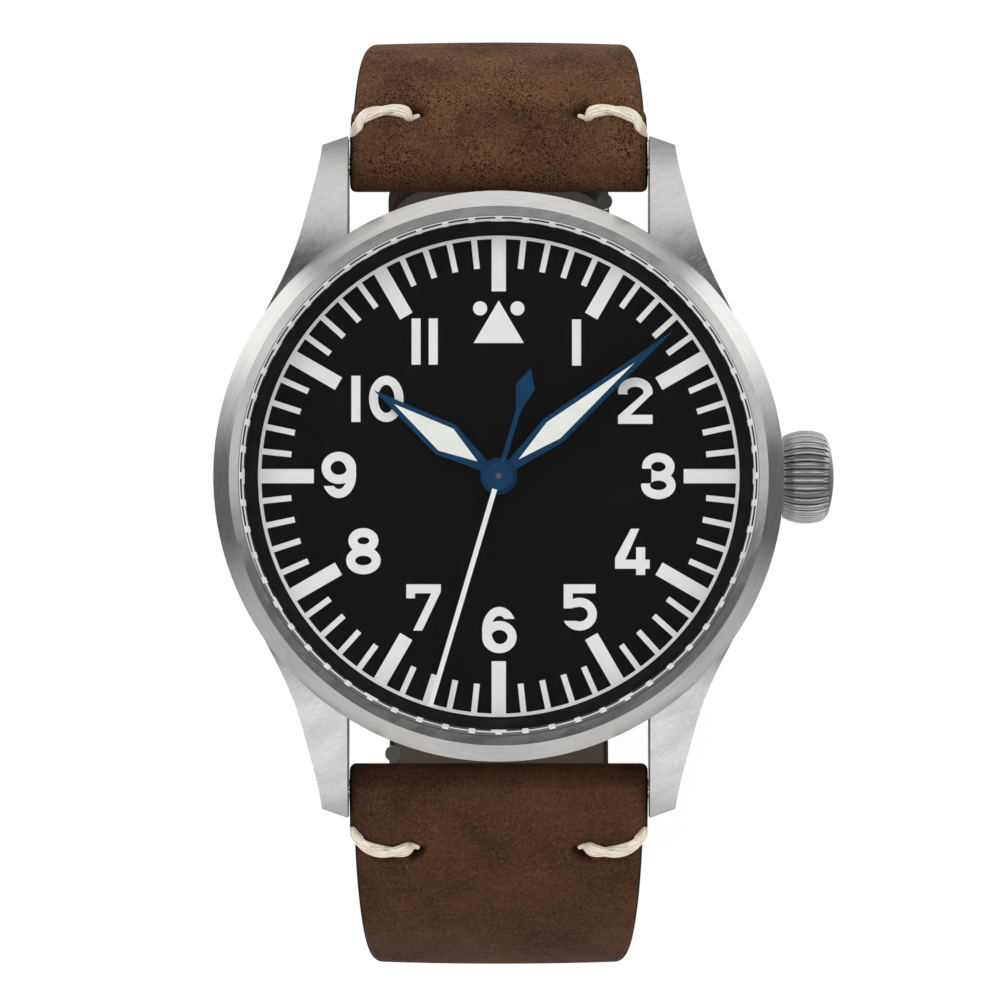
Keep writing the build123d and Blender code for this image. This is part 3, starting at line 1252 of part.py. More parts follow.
def keeper(start):
    """Leather loop round the short half, with room for the tail on its outer side."""
    half = end_half + KEEPER_GAP
    high = LOOP_LOW_Z + STRAP_END_THICK / 2 + KEEPER_GAP
    low = LOOP_LOW_Z - STRAP_END_THICK * 1.5 - KEEPER_GAP * 2
    outer = half + KEEPER_THICK
    end = start + KEEPER_LENGTH
    loop = block(-outer, outer, start, end, low - KEEPER_THICK, high + KEEPER_THICK)
    loop = fillet(loop.edges().filter_by(Axis.Y), KEEPER_THICK)
    return loop - block(-half, half, start - CUT, end + CUT, low, high)


save("fixed_keeper", keeper(BUCKLE_Y + FIXED_KEEPER_SET))
save("free_keeper", keeper(BUCKLE_Y + FREE_KEEPER_SET))
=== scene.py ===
"""Pilot watch on a leather strap, dressed in Blender on the shared frame.

Shapes are worked out in millimetres and put into their meshes in metres. +Z points
out of the dial along the hand arbor, +Y to twelve o'clock and +X to the crown.
"""

import bpy
import numpy as np
from bpy.props import FloatProperty, FloatVectorProperty, PointerProperty
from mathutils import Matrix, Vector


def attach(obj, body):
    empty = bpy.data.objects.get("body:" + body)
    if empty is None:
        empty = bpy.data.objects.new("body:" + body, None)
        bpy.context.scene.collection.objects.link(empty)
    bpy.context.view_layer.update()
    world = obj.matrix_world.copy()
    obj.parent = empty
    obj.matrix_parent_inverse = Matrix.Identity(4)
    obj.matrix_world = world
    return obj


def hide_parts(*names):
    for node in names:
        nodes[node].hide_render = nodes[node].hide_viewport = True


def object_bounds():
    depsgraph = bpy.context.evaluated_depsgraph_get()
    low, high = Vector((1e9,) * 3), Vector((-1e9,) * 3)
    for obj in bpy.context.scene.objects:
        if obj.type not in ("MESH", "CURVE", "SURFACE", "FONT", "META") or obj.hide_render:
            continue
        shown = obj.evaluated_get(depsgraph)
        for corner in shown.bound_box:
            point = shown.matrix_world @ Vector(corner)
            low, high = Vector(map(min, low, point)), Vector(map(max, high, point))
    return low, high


bl_info = {
    "name": "Pilot watch dressing",
    "version": (1, 0, 0),
    "blender": (4, 5, 0),
    "location": "3D View > Sidebar > Watch",
    "description": "Finishes, strap, stitches, keepers and studio for the pilot watch",
    "category": "Object",
}

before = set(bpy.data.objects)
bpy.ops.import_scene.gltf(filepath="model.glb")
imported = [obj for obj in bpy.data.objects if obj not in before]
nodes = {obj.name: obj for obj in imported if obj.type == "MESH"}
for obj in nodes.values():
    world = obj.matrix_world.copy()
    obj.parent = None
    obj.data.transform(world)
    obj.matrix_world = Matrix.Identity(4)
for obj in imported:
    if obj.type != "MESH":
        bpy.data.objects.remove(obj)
CAD_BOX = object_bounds()
MM = 0.001

# Strap, in millimetres, along the solids' path and with their thicknesses
BAR_Y, BAR_Z = 21.0, 4.2
SHORT_WIDE, LONG_WIDE, WIDE_Z = 28.55, 31.65, -7.4
THIN_Z = -22.0
FLAT_Y, LOW_Z = 12.0, -43.0
LAYER_GAP = 4.1
BUCKLE_Y = -2.9
TAIL_LENGTH = 30.0
ROOT_THICK, WIDE_THICK, END_THICK = 3.6, 2.9, 2.2
ROOT_RADIUS = ROOT_THICK / 2
LINING_THICK = 0.7
LINING_START = 0.4  # share of the fold over the lug that has no lining
BUCKLE_FOLD = 1.55
TAIL_ROUND, TAIL_POINT = 0.9, 8.0
PAST_END = 10.0
HOLES_BACK, HOLE_PITCH, HOLE_COUNT, HOLE_RADIUS = 18.0, 6.5, 7, 0.9
SLOT_HALF, SLOT_RADIUS, SLOT_STRETCH, THROUGH = 0.6, 0.55, 5.0, 3.0
FIXED_KEEPER_Y, SLIDING_KEEPER_Y = BUCKLE_Y + 2.1, BUCKLE_Y + 8.4
KEEPER_LENGTH, KEEPER_WALL, KEEPER_CORNER, KEEPER_EDGE = 4.0, 1.0, 1.1, 0.3

# Half widths of the leather, a little less than the solids' below the bar, to follow the photograph
ROOT_HALF, END_HALF = 10.0, 8.0
SHORT_HALF, LONG_HALF = 8.9, 8.7
SHORT_WAIST, LONG_WAIST, WAIST_ALONG = 0.15, 0.3, 2.7
ROOT_CORNER = 0.45
FACE_CROWN = 0.16

# Painted shade on the leather by the bar: its strength and how far along it goes, by whether the half has the
# tail
ROOT_PAINTED_SHADE = {False: (0.5, 4.0), True: (0.3, 1.0)}

# Reflections: levels that the steel shows at turns in degrees from twelve o'clock
LOW_BELT = (
    (0, 207), (22, 208), (33, 185), (40, 140), (47, 238), (62, 238), (72, 185), (84, 95),
    (102, 88), (110, 145), (120, 169), (132, 165), (142, 184), (165, 189), (180, 176),
)
HALF_BELT = (
    (0, 60), (70, 64), (78, 110), (86, 178), (106, 172), (120, 205), (130, 184), (140, 104), (180, 82),
)
STEEL_SHARE = 0.68
RAMP_TOP = 1.5
CAMERA_IMAGE = (0.0, 0.122, 0.9925)  # direction in which the flat parts mirror the camera

# Seal, with the radius of its painted reflection dashes, and crown, in millimetres
SEAL_RADIUS, PAINTED_DASH_RADIUS = 17.3, 17.16
STEM_Z, CROWN_FLUTES, CROWN_END = 4.9, 36, 22.05

# Grain heights, in metres
METAL_BUMP, LEATHER_BUMP, THREAD_BUMP = 0.00002, 0.00008, 0.00004

# Studio: the camera's target in millimetres, the floor's half width and drop in metres
CAMERA_TARGET = (0.083, -1.63, 10.6)
FLOOR_HALF, FLOOR_DROP = 2, 0.00005

# Middle line of a stitch from its hole to the strap's edge, as distances across and along
STITCH_ACROSS = (5.9, 6.15, 6.55, 7.1, 7.7, 8.25, 8.65, 9.0, 9.3, 9.5, 9.6)
STITCH_ALONG = (2.56, 2.66, 2.77, 2.82, 2.80, 2.72, 2.60, 2.43, 2.2, 1.85, 1.45)
LONG_STITCH_SET = 0.72
STITCH_LIFT, STITCH_PITCH = 0.16, 4.4

# Relief of the leather round a stitch: two rises, then three depths
SWELL, BEYOND = 0.26, 0.14
VALLEY, PIT, SLIT = 0.3, 0.5, 0.7

# Thread: how far each ply lies off the middle line, and its radius
PLY_OFFSET, PLY_RADIUS = 0.12, 0.33


# ---- Shapes ----
def srgb(red, green, blue):
    """Linear colour of three sRGB levels from 0 to 255."""
    share = np.array([red, green, blue]) / 255
    linear = np.where(share <= 0.04045, share / 12.92, ((share + 0.055) / 1.055) ** 2.4)
    return tuple(linear.tolist())


def smooth(value):
    """Smooth step: 3v^2 - 2v^3 of a value held between 0 and 1."""
    held = np.clip(value, 0, 1)
    return held * held * (3 - 2 * held)


def ellipse(mid, reach, start, end, count=90):
    """Points mid + reach * (cos a, sin a), with a from start to end in degrees."""
    angle = np.radians(np.linspace(start, end, count))
    return np.stack([mid[0] + reach[0] * np.cos(angle), mid[1] + reach[1] * np.sin(angle)], 1)


def strap_path(side):
    """Middle line of a half as (y, z): a quarter ellipse over the lug, then one to the bottom.

    The short half ends on the buckle bar. The long half rises again inside it.
    """
    wide = SHORT_WIDE if side > 0 else LONG_WIDE
    fold = ellipse((BAR_Y, WIDE_Z), (wide - BAR_Y, BAR_Z - WIDE_Z), 90, 0)
    drop = WIDE_Z - LOW_Z
    if side > 0:
        low = ellipse((FLAT_Y, WIDE_Z), (wide - FLAT_Y, drop), 0, -90)
        return np.vstack([fold, low[1:], [[BUCKLE_Y, LOW_Z]]])
    drop -= LAYER_GAP
    low = ellipse((-FLAT_Y, WIDE_Z), (wide - FLAT_Y, drop), 180, 270)
    rise = ellipse((FLAT_Y, WIDE_Z), (SHORT_WIDE - FLAT_Y - LAYER_GAP, drop), -90, 0)
    return np.vstack([fold * [-1, 1], low[1:], rise])


def running(path):
    """Running length at each point of a path."""
    return np.concatenate([[0], np.cumsum(np.linalg.norm(np.diff(path, axis=0), axis=1))])


SHORT_PATH = strap_path(1)
LONG_PATH = strap_path(-1)
FOLD_LENGTH = running(SHORT_PATH)[89]
SHORT_LENGTH = running(SHORT_PATH)[-1]
LONG_LENGTH = SHORT_LENGTH + TAIL_LENGTH
LINING_ALONG = FOLD_LENGTH * LINING_START


def half_of(side):
    """Whether the half at that side has the tail, its path and its length."""
    return (True, LONG_PATH, LONG_LENGTH) if side < 0 else (False, SHORT_PATH, SHORT_LENGTH)


def closing(past, radius):
    """Share of the height left where a half circle of that radius closes it: sqrt(1 - (p / r)^2)."""
    return np.sqrt(np.clip(1 - (np.clip(past, 0, radius) / radius) ** 2, 0.001, 1))


def carried(path, side, lengths):
    """Places and outward directions along a path.

    The path is carried on straight past both ends. A place is found on the running
    length, and outward is the direction of travel turned a quarter, away from the wrist.
    """
    first = path[0] - path[1]
    last = path[-1] - path[-2]
    path = np.vstack([
        path[0] + first / np.linalg.norm(first) * PAST_END, path,
        path[-1] + last / np.linalg.norm(last) * PAST_END,
    ])
    along = running(path) - PAST_END
    places = np.stack([np.interp(lengths, along, path[:, k]) for k in (0, 1)], 1)
    travel = np.gradient(path, along, axis=0)
    travel = np.stack([np.interp(lengths, along, travel[:, k]) for k in (0, 1)], 1)
    travel /= np.linalg.norm(travel, axis=1, keepdims=True)
    return places, np.stack([-side * travel[:, 1], side * travel[:, 0]], 1)


def outline(across, corner):
    """Ring of a rounded rectangle as shares and arcs.

    Each point is (a, b, ex, en): it lies at a * (half width - e) + e * ex across and
    b * (half height - e) + e * en out, where e is the corner's radius. across gives the
    points of each long face and corner those of each quarter arc.
    """
    rows = []
    face = np.linspace(1, -1, across + 2)[1:-1]
    for turn in range(4):
        a, b = ((1, 1), (-1, 1), (-1, -1), (1, -1))[turn]
        angle = np.radians(90 * turn + np.linspace(0, 90, corner))
        rows.append(np.stack([np.full(corner, a), np.full(corner, b), np.cos(angle), np.sin(angle)], 1))
        if turn == 0:
            rows.append(np.stack([face, np.ones(across), np.zeros(across), np.ones(across)], 1))
        if turn == 2:
            rows.append(np.stack([-face, -np.ones(across), np.zeros(across), -np.ones(across)], 1))
    return np.vstack(rows)


def placed(name, data):
    """Object of a mesh, a lamp or a camera, put into the scene."""
    made = bpy.data.objects.new(name, data)
    bpy.context.scene.collection.objects.link(made)
    return made


def grid_piece(name, points, material, wrap=False, layers=None):
    """Piece from a grid of points in millimetres: rings are closed, and rows closed or capped.

    points is (rows, ring, 3). Quads join neighbours in both directions. The faces are
    turned round if the volume that they enclose comes out negative. UV is the running
    length along the rows and round the ring, and layers holds values for each point.
    """
    rows, ring = points.shape[:2]
    index = np.arange(rows * ring).reshape(rows, ring)
    below = index if wrap else index[:-1]
    above = np.roll(index, -1, 0) if wrap else index[1:]
    quads = np.stack([below, np.roll(below, -1, 1), np.roll(above, -1, 1), above], -1).reshape(-1, 4)
    flat = points.reshape(-1, 3) * MM
    corners = flat[quads]
    volume = np.einsum("ij,ij->i", corners[:, 0], np.cross(corners[:, 1], corners[:, 2])).sum()
    volume += np.einsum("ij,ij->i", corners[:, 0], np.cross(corners[:, 2], corners[:, 3])).sum()
    caps = [] if wrap else [index[0][::-1], index[-1]]
    if volume < 0:
        quads = quads[:, ::-1]
        caps = [cap[::-1] for cap in caps]
    loops = np.concatenate([quads.ravel()] + caps)
    sizes = np.concatenate([np.full(len(quads), 4), np.full(len(caps), ring)]).astype(np.int32)
    mesh = bpy.data.meshes.new(name)
    mesh.vertices.add(len(flat))
    mesh.vertices.foreach_set("co", flat.ravel())
    mesh.loops.add(len(loops))
    mesh.loops.foreach_set("vertex_index", loops.astype(np.int32))
    mesh.polygons.add(len(sizes))
    mesh.polygons.foreach_set("loop_start", np.concatenate([[0], np.cumsum(sizes)[:-1]]).astype(np.int32))
    mesh.polygons.foreach_set("use_smooth", np.ones(len(sizes), bool))
    step_row = np.linalg.norm(np.diff(points, axis=0), axis=2).max(axis=1)
    step_ring = np.linalg.norm(np.diff(points, axis=1), axis=2).max(axis=0)
    row_at = np.concatenate([[0], np.cumsum(step_row)]) * MM
    ring_at = np.concatenate([[0], np.cumsum(step_ring)]) * MM
    uv = mesh.uv_layers.new(name="UVMap")
    uv.data.foreach_set("uv", np.stack([ring_at[loops % ring], row_at[loops // ring]], 1).ravel())
    for label, values in (layers or {}).items():
        layer = mesh.attributes.new(label, "FLOAT", "POINT")
        layer.data.foreach_set("value", np.broadcast_to(values, (rows, ring)).ravel().astype(np.float32))
    mesh.update(calc_edges=True)
    mesh.validate()
    mesh.materials.append(material)
    return placed(name, mesh)


def cut_away(piece, cutters):
    """Takes other grid pieces out of a piece, and removes them."""
    for cutter in cutters:
        cut = piece.modifiers.new("cut", "BOOLEAN")
        cut.object = cutter
        cut.operation = "DIFFERENCE"
        cut.solver = "EXACT"
    view = bpy.context.evaluated_depsgraph_get()
    whole = bpy.data.meshes.new_from_object(piece.evaluated_get(view), depsgraph=view)
    piece.modifiers.clear()
    piece.data = whole
    for cutter in cutters:
        bpy.data.objects.remove(cutter)


def stitch_line(across, side):
    """Running length of a stitch at a distance across, read off its measured line."""
    return np.interp(across, STITCH_ACROSS, STITCH_ALONG) + (LONG_STITCH_SET if side < 0 else 0.0)


def lug_relief(across, along, side):
    """Height of the leather round a stitch, in millimetres, and the painted shade where it lies deep in a
    fold.

    On the lug side of the stitch the leather swells, a valley follows the stitch, a pit
    marks the hole and a slit lies beside it. Each is a smooth step or a bell of the
    distance from it.
    """
    at = np.abs(across)
    hole = STITCH_ACROSS[0]
    line = stitch_line(at, side)
    under = smooth((at - hole + 0.3) / 0.8)
    swell = SWELL * smooth((line - along) / 0.8 + 0.3) * smooth((along + 1.8) / 1.8)
    valley = np.exp(-((along - line) / 0.5) ** 2) * under
    pit = np.exp(-((at - hole) ** 2 + (along - stitch_line(hole, side)) ** 2) / 0.45 ** 2)
    beyond = BEYOND * np.exp(-((along - line - 1.3) / 0.7) ** 2) * under
    above = along - stitch_line(hole, side)
    slit = np.exp(-((at - hole + 0.4) / 0.6) ** 4 - ((above - 0.42 - 0.4 * (at - hole + 0.4)) / 0.32) ** 2)
    # The fold value is painted shade in the valley, the pit and the slit, strongest in the slit.
    fold = np.maximum(np.maximum(valley, pit), 1.66 * slit)
    height = swell * (0.35 + 0.65 * under) + beyond
    return height - VALLEY * valley - PIT * pit - SLIT * slit, fold


def thickness(along):
    """Thickness of the strap, straight between the bar, the widest place and the thin run."""
    return np.interp(along, [0, FOLD_LENGTH, 2.5 * FOLD_LENGTH], [ROOT_THICK, WIDE_THICK, END_THICK])


def half_width(along, heights, length, tail):
    """Half width of the strap, tapered downwards, with a rounded corner at the bar and a pointed tail.

    Past the stitches, which draw the edges in, it is narrower by a waist that fades downwards.
    """
    wide, waist = (LONG_HALF, LONG_WAIST) if tail else (SHORT_HALF, SHORT_WAIST)
    half = np.interp(heights, [THIN_Z, WIDE_Z, BAR_Z], [END_HALF, wide, ROOT_HALF])
    fade = smooth((heights - THIN_Z) / (BAR_Z - THIN_Z))
    half = half - waist * smooth((along - WAIST_ALONG) / 0.5) * fade
    half = np.where(along > length / 2, END_HALF, half)
    corner = np.clip(1 - (along + ROOT_RADIUS) / ROOT_CORNER, 0, 1)
    half = half - ROOT_CORNER * (1 - np.sqrt(1 - corner ** 2))
    if tail:
        point = np.clip((along - length + TAIL_POINT) / (TAIL_POINT + 0.3), 0, 1)
        half = half * np.sqrt(1 - point ** 2)
    return half


def strap_rows(length, tail):
    """Running lengths of the strap's rings: close at both ends and at the stitches, wider between."""
    end = length if tail else length + BUCKLE_FOLD
    start_cap = -ROOT_RADIUS * np.cos(np.linspace(0.03, np.pi / 2, 16))
    last = TAIL_ROUND if tail else BUCKLE_FOLD
    end_cap = end - last + last * np.sin(np.linspace(0, np.pi / 2 - 0.03, 12))
    near = np.arange(0.12, 8.0, 0.12)
    far = np.arange(8.0, end - last, 0.5)
    return np.concatenate([start_cap, near, far, end_cap])


def swept(across, out, places, outward):
    """Points of a sweep: across the strap, and out from each place of its path."""
    points = np.empty(across.shape + (3,))
    points[..., 0] = across
    points[..., 1:] = places[:, None, :] + outward[:, None, :] * out[..., None]
    return points


def leather_half(name, side, material):
    """Leather of one half of the strap, swept along its path.

    Each ring is a rounded rectangle between two heights off the middle line. The outer
    face is crowned by FACE_CROWN * (1 - a^2) and carries the relief round the stitches.
    Round the spring bar, and at the end, the heights close to a half circle.
    """
    tail, path, length = half_of(side)
    along = strap_rows(length, tail)
    high = thickness(along) / 2
    lined = smooth((along - LINING_ALONG) / 0.5)
    low = -high + LINING_THICK * lined
    if tail:
        past = closing(along - length + TAIL_ROUND, TAIL_ROUND)
        middle = (high + low) / 2
        high, low = middle + (high - middle) * past, middle + (low - middle) * past
    else:
        swell = smooth((along - length + 4.0) / 4.0)
        past = closing(along - length, BUCKLE_FOLD)
        high = (high + (BUCKLE_FOLD - high) * swell) * past
        low = (low + (-BUCKLE_FOLD - low) * swell) * past
    before = closing(-along, ROOT_RADIUS)
    high, low = high * before, low * before
    places, outward = carried(path, side, along)
    half = half_width(along, places[:, 1], length, tail)
    a, b, ex, en = outline(112, 7).T
    height = (high - low)[:, None]
    corner = np.minimum(0.62, height * 0.49)
    corner = np.where(b > 0, corner, np.minimum(0.35, height * 0.49))
    x = a * (half[:, None] - corner) + corner * ex
    face = np.where(b > 0, high[:, None] - corner, low[:, None] + corner) + corner * en
    crown = FACE_CROWN * (1 - (x / half[:, None]) ** 2) * (b > 0) * before[:, None]
    relief, fold = lug_relief(x, along[:, None], side)
    on_top = np.clip(en, 0, 1) * (b > 0) * smooth((along + ROOT_RADIUS) / ROOT_RADIUS)[:, None]
    points = swept(x, face + crown + relief * on_top, places, outward)
    rim = smooth((np.abs(ex) - 0.62) / 0.3)
    # Painted shade by the bar joins the painted shade round the stitches in the fold value.
    shade, reach = ROOT_PAINTED_SHADE[tail]
    fold = np.maximum(fold, shade * smooth((reach - along) / 2.0)[:, None])
    piece = grid_piece(name, points, material, layers={"rim": rim, "fold": fold * on_top})
    return piece, path, length


def lining_half(name, side, material):
    """Lining of one half: a thin rounded strip on the inner face, swept along the same path."""
    tail, path, length = half_of(side)
    end = length - (0.25 if tail else 3.2)
    along = np.concatenate([
        LINING_ALONG + 0.3 * (1 - np.cos(np.linspace(0.05, np.pi / 2, 6))),
        np.arange(LINING_ALONG + 0.8, end - 0.5, 0.6),
        end - 0.3 * (1 - np.sin(np.linspace(0, np.pi / 2 - 0.05, 6))),
    ])
    low = -thickness(along) / 2
    ends = np.clip(np.minimum(along - along[0], along[-1] - along) / 0.3 + 0.03, 0, 1)
    thick = LINING_THICK * np.sqrt(1 - (1 - ends) ** 2)
    places, outward = carried(path, side, along)
    half = half_width(along, places[:, 1], length, tail) - 0.12
    a, b, ex, en = outline(36, 5).T
    corner = np.minimum(0.22, thick[:, None] * 0.49)
    x = a * (half[:, None] - corner) + corner * ex
    out = np.where(b > 0, (low + thick)[:, None] - corner, low[:, None] + corner) + corner * en
    rim = np.exp(-((half[:, None] - np.abs(x)) / 0.25) ** 2)
    return grid_piece(name, swept(x, out, places, outward), material, layers={"rim": rim})


def peg(x0, x1, path, side, length, radius, reach):
    """Cutter through the strap: a ring of that radius stretched from x0 to x1 and carried outward."""
    place, outward = carried(path, side, np.array([length]))
    travel = np.array([outward[0, 1], -outward[0, 0]])
    angle = np.linspace(0, 2 * np.pi, 40, endpoint=False)
    across = np.where(np.cos(angle) > 0, x1, x0) + radius * np.cos(angle)
    run = radius * np.sin(angle)
    rows = np.array([-reach, reach])
    points = np.empty((2, len(angle), 3))
    points[..., 0] = across
    points[..., 1:] = (place[0] + travel * run[:, None])[None] + outward[0] * rows[:, None, None]
    return points


def thread_end(path, side, mirror):
    """Short end of the thread that lies in the slit beside its hole, as rings of a swelling tube."""
    share = np.linspace(0, 1, 24)
    across = STITCH_ACROSS[0] - 0.1 - 0.52 * share
    along = stitch_line(STITCH_ACROSS[0], side) - 0.02 + 0.1 * share
    places, outward = carried(path, side, along)
    line = places + outward * (thickness(along) / 2 - 0.22)[:, None]
    swelling = 0.2 * np.sqrt(np.clip(1 - (2 * share - 1) ** 4, 0.01, 1))
    angle = np.linspace(0, 2 * np.pi, 14, endpoint=False)
    lengthwise = np.column_stack([outward[:, 1], -outward[:, 0]])
    ring = np.cos(angle)[:, None] * outward[:, None] - np.sin(angle)[:, None] * lengthwise[:, None]
    tube = np.empty((len(share), len(angle), 3))
    tube[..., 0] = (across * mirror)[:, None]
    tube[..., 1:] = line[:, None] + swelling[:, None, None] * ring
    return tube


def stitch_cords(name, side, material):
    """Two heavy stitches of two plies each, as one piece.

    The middle line follows the stitch's measured line across the strap and dives under
    the leather at both ends. Each ply turns round it as a helix: offset * (cos p, sin p),
    with p growing by a full turn in each pitch, and each is a tube of its own.
    """
    path = half_of(side)[1]
    knots = np.column_stack([STITCH_ACROSS, stitch_line(np.array(STITCH_ACROSS), side)])
    share = np.linspace(0, 1, 130)
    run = running(knots)
    across, along = (np.interp(share, run / run[-1], knots[:, k]) for k in (0, 1))
    soft = np.hanning(17) / np.hanning(17).sum()
    across, along = (
        np.convolve(np.pad(line, 8, "reflect", reflect_type="odd"), soft, "valid") for line in (across, along)
    )
    dive = smooth((0.10 - share) / 0.16) + smooth((share - 0.86) / 0.2)
    places, outward = carried(path, side, along)
    lift = thickness(along) / 2 + STITCH_LIFT - 1.5 * dive
    line = np.column_stack([across, places + outward * lift[:, None]])
    length = running(line)
    tangent = np.gradient(line, length, axis=0)
    tangent /= np.linalg.norm(tangent, axis=1, keepdims=True)
    up = np.column_stack([np.zeros(len(line)), outward])
    up -= tangent * (up * tangent).sum(1, keepdims=True)
    up /= np.linalg.norm(up, axis=1, keepdims=True)
    beside = np.cross(tangent, up)
    tubes = []
    angle = np.linspace(0, 2 * np.pi, 18, endpoint=False)[:, None]
    ring = np.cos(angle) * up[:, None] + np.sin(angle) * beside[:, None]
    for mirror in (1, -1):
        for ply in (0, np.pi):
            turn = (2 * np.pi * length / STITCH_PITCH + ply)[:, None]
            ply_line = line + PLY_OFFSET * (np.cos(turn) * up + np.sin(turn) * beside)
            tube = ply_line[:, None] + PLY_RADIUS * ring
            tube[..., 0] *= mirror
            tubes.append(tube)
        tubes.append(thread_end(path, side, mirror))
    pieces = [grid_piece(name + "_ply", tube, material) for tube in tubes]
    return join(name, pieces)


def join(name, pieces):
    """Several grid pieces as one mesh, in the order given."""
    first = pieces[0]
    with bpy.context.temp_override(active_object=first, selected_editable_objects=pieces, object=first):
        bpy.ops.object.join()
    first.name = name
    first.data.name = name
    return first


def keeper_loop(name, start, material):
    """Leather loop: one rounded rectangle carried round another.

    The path lies in the plane across the strap, and the section is KEEPER_LENGTH along the
    strap and KEEPER_WALL thick, set out along the path's outward direction.
    """
    low = LOW_Z - END_THICK * 1.5 - 0.6
    high = LOW_Z + END_THICK / 2 + 0.3
    a, b, ex, en = outline(30, 12).T
    wide, tall = END_HALF + 0.3 + KEEPER_WALL / 2, (high - low) / 2 + KEEPER_WALL / 2
    across = a * (wide - KEEPER_CORNER) + KEEPER_CORNER * ex
    up = b * (tall - KEEPER_CORNER) + KEEPER_CORNER * en + (high + low) / 2
    sa, sb, sx, sn = outline(20, 6).T
    run = sa * (KEEPER_LENGTH / 2 - KEEPER_EDGE) + KEEPER_EDGE * sx
    out = sb * (KEEPER_WALL / 2 - KEEPER_EDGE) + KEEPER_EDGE * sn
    points = np.empty((len(a), len(sa), 3))
    points[..., 0] = across[:, None] + ex[:, None] * out
    points[..., 1] = start + KEEPER_LENGTH / 2 + run
    points[..., 2] = up[:, None] + en[:, None] * out
    rim = np.exp(-((KEEPER_LENGTH / 2 - np.abs(run)) / 0.28) ** 2)
    rim = np.where(np.abs(sa) < 1, rim, 1.0)
    return grid_piece(name, points, material, wrap=True, layers={"rim": rim, "fold": 0.0})


# ---- Finishes ----
def add(tree, kind, sockets=None, **settings):
    """Adds a shader node, sets its properties, and feeds its sockets with values or outputs."""
    made = tree.nodes.new("ShaderNode" + kind)
    for name, value in settings.items():
        setattr(made, name, value)
    for name, value in (sockets or {}).items():
        feed(tree, value, made.inputs[name])
    return made


def feed(tree, value, socket):
    """Links an output to a socket, or sets the socket's own value."""
    if isinstance(value, bpy.types.NodeSocket):
        tree.links.new(value, socket)
    elif socket.type == "RGBA":
        socket.default_value = (*value[:3], 1.0)
    else:
        socket.default_value = value


def maths(tree, kind, first, second=0.0, held=False):
    """One step of arithmetic on values, held between 0 and 1 if asked."""
    return add(tree, "Math", {0: first, 1: second}, operation=kind, use_clamp=held).outputs[0]


def product(tree, first, second, held=False):
    """Two values multiplied."""
    return maths(tree, "MULTIPLY", first, second, held)


def vector_maths(tree, kind, first, second):
    """One step of arithmetic on vectors."""
    return add(tree, "VectorMath", {0: first, 1: second}, operation=kind).outputs[0]


def blend_colour(tree, share, first, second):
    """Colour that goes from first to second with share."""
    return add(tree, "Mix", {0: share, 6: first, 7: second}, data_type="RGBA").outputs[2]


def blend_value(tree, share, first, second):
    """Value that goes from first to second with share."""
    return add(tree, "Mix", {0: share, 2: first, 3: second}, data_type="FLOAT").outputs[0]


def blend_shader(tree, share, first, second):
    """Shader that goes from first to second with share."""
    return add(tree, "MixShader", {0: share, 1: first, 2: second}).outputs[0]


def spread(tree, value, low, high, to_low=0.0, to_high=1.0):
    """Value carried smoothly from one range to another and held inside it."""
    sockets = {0: value, 1: low, 2: high, 3: to_low, 4: to_high}
    return add(tree, "MapRange", sockets, interpolation_type="SMOOTHSTEP").outputs[0]


def noise(tree, vector, scale, detail, rough=0.5):
    """Outputs of a noise texture."""
    sockets = {"Vector": vector, "Scale": scale, "Detail": detail, "Roughness": rough}
    return add(tree, "TexNoise", sockets).outputs


def own_place(tree):
    """Coordinates of the piece itself."""
    return add(tree, "TexCoord").outputs["Object"]


def split(tree, vector):
    """The three parts of a vector."""
    return add(tree, "SeparateXYZ", {0: vector}).outputs


def flat_squared(tree, parts):
    """Squared distance from the Z axis."""
    return maths(tree, "ADD", maths(tree, "POWER", parts[0], 2.0), maths(tree, "POWER", parts[1], 2.0))


def from_middle(tree, turn):
    """Distance of a turn from the middle of its own step: 0 at the middle, 0.5 at the ends."""
    return maths(tree, "ABSOLUTE", maths(tree, "SUBTRACT", maths(tree, "FRACT", turn), 0.5))


def scaled(colour, share):
    """Colour with each part times a share, and held at one."""
    return tuple(min(part * share, 1.0) for part in colour)


def new_group(name, takes, gives):
    """Empty shader group with inputs as (name, kind, value) and outputs as (name, kind)."""
    tree = bpy.data.node_groups.new(name, "ShaderNodeTree")
    for label, kind, value in takes:
        socket = tree.interface.new_socket(label, in_out="INPUT", socket_type="NodeSocket" + kind)
        if value is not None:
            socket.default_value = value
    for label, kind in gives:
        tree.interface.new_socket(label, in_out="OUTPUT", socket_type="NodeSocket" + kind)
    return tree, tree.nodes.new("NodeGroupInput").outputs, tree.nodes.new("NodeGroupOutput").inputs


def grain_group():
    """Satin grain: fine noise for the height, mixed with broad blotches for the tone."""
    tree, take, give = new_group("Satin grain", [
        ("Vector", "Vector", None), ("Fine", "Float", 4000.0),
        ("Broad", "Float", 500.0), ("Blotches", "Float", 0.5),
    ], [("Tone", "Float"), ("Height", "Float")])
    fine = noise(tree, take["Vector"], take["Fine"], 3.0, 0.6)["Fac"]
    broad = noise(tree, take["Vector"], take["Broad"], 2.0)["Fac"]
    blotches = spread(tree, broad, 0.35, 0.65)
    feed(tree, blend_value(tree, take["Blotches"], fine, blotches), give["Tone"])
    feed(tree, fine, give["Height"])
    return tree


def turned_group():
    """Coordinates of a turned face: distance from the Z axis, angle times a share, and height."""
    tree, take, give = new_group("Turned face", [
        ("Vector", "Vector", None), ("Round", "Float", 0.001),
    ], [("Vector", "Vector")])
    parts = split(tree, take["Vector"])
    away = maths(tree, "SQRT", flat_squared(tree, parts))
    angle = product(tree, maths(tree, "ARCTAN2", parts[1], parts[0]), take["Round"])
    feed(tree, add(tree, "CombineXYZ", {0: away, 1: angle, 2: parts[2]}).outputs[0], give["Vector"])
    return tree


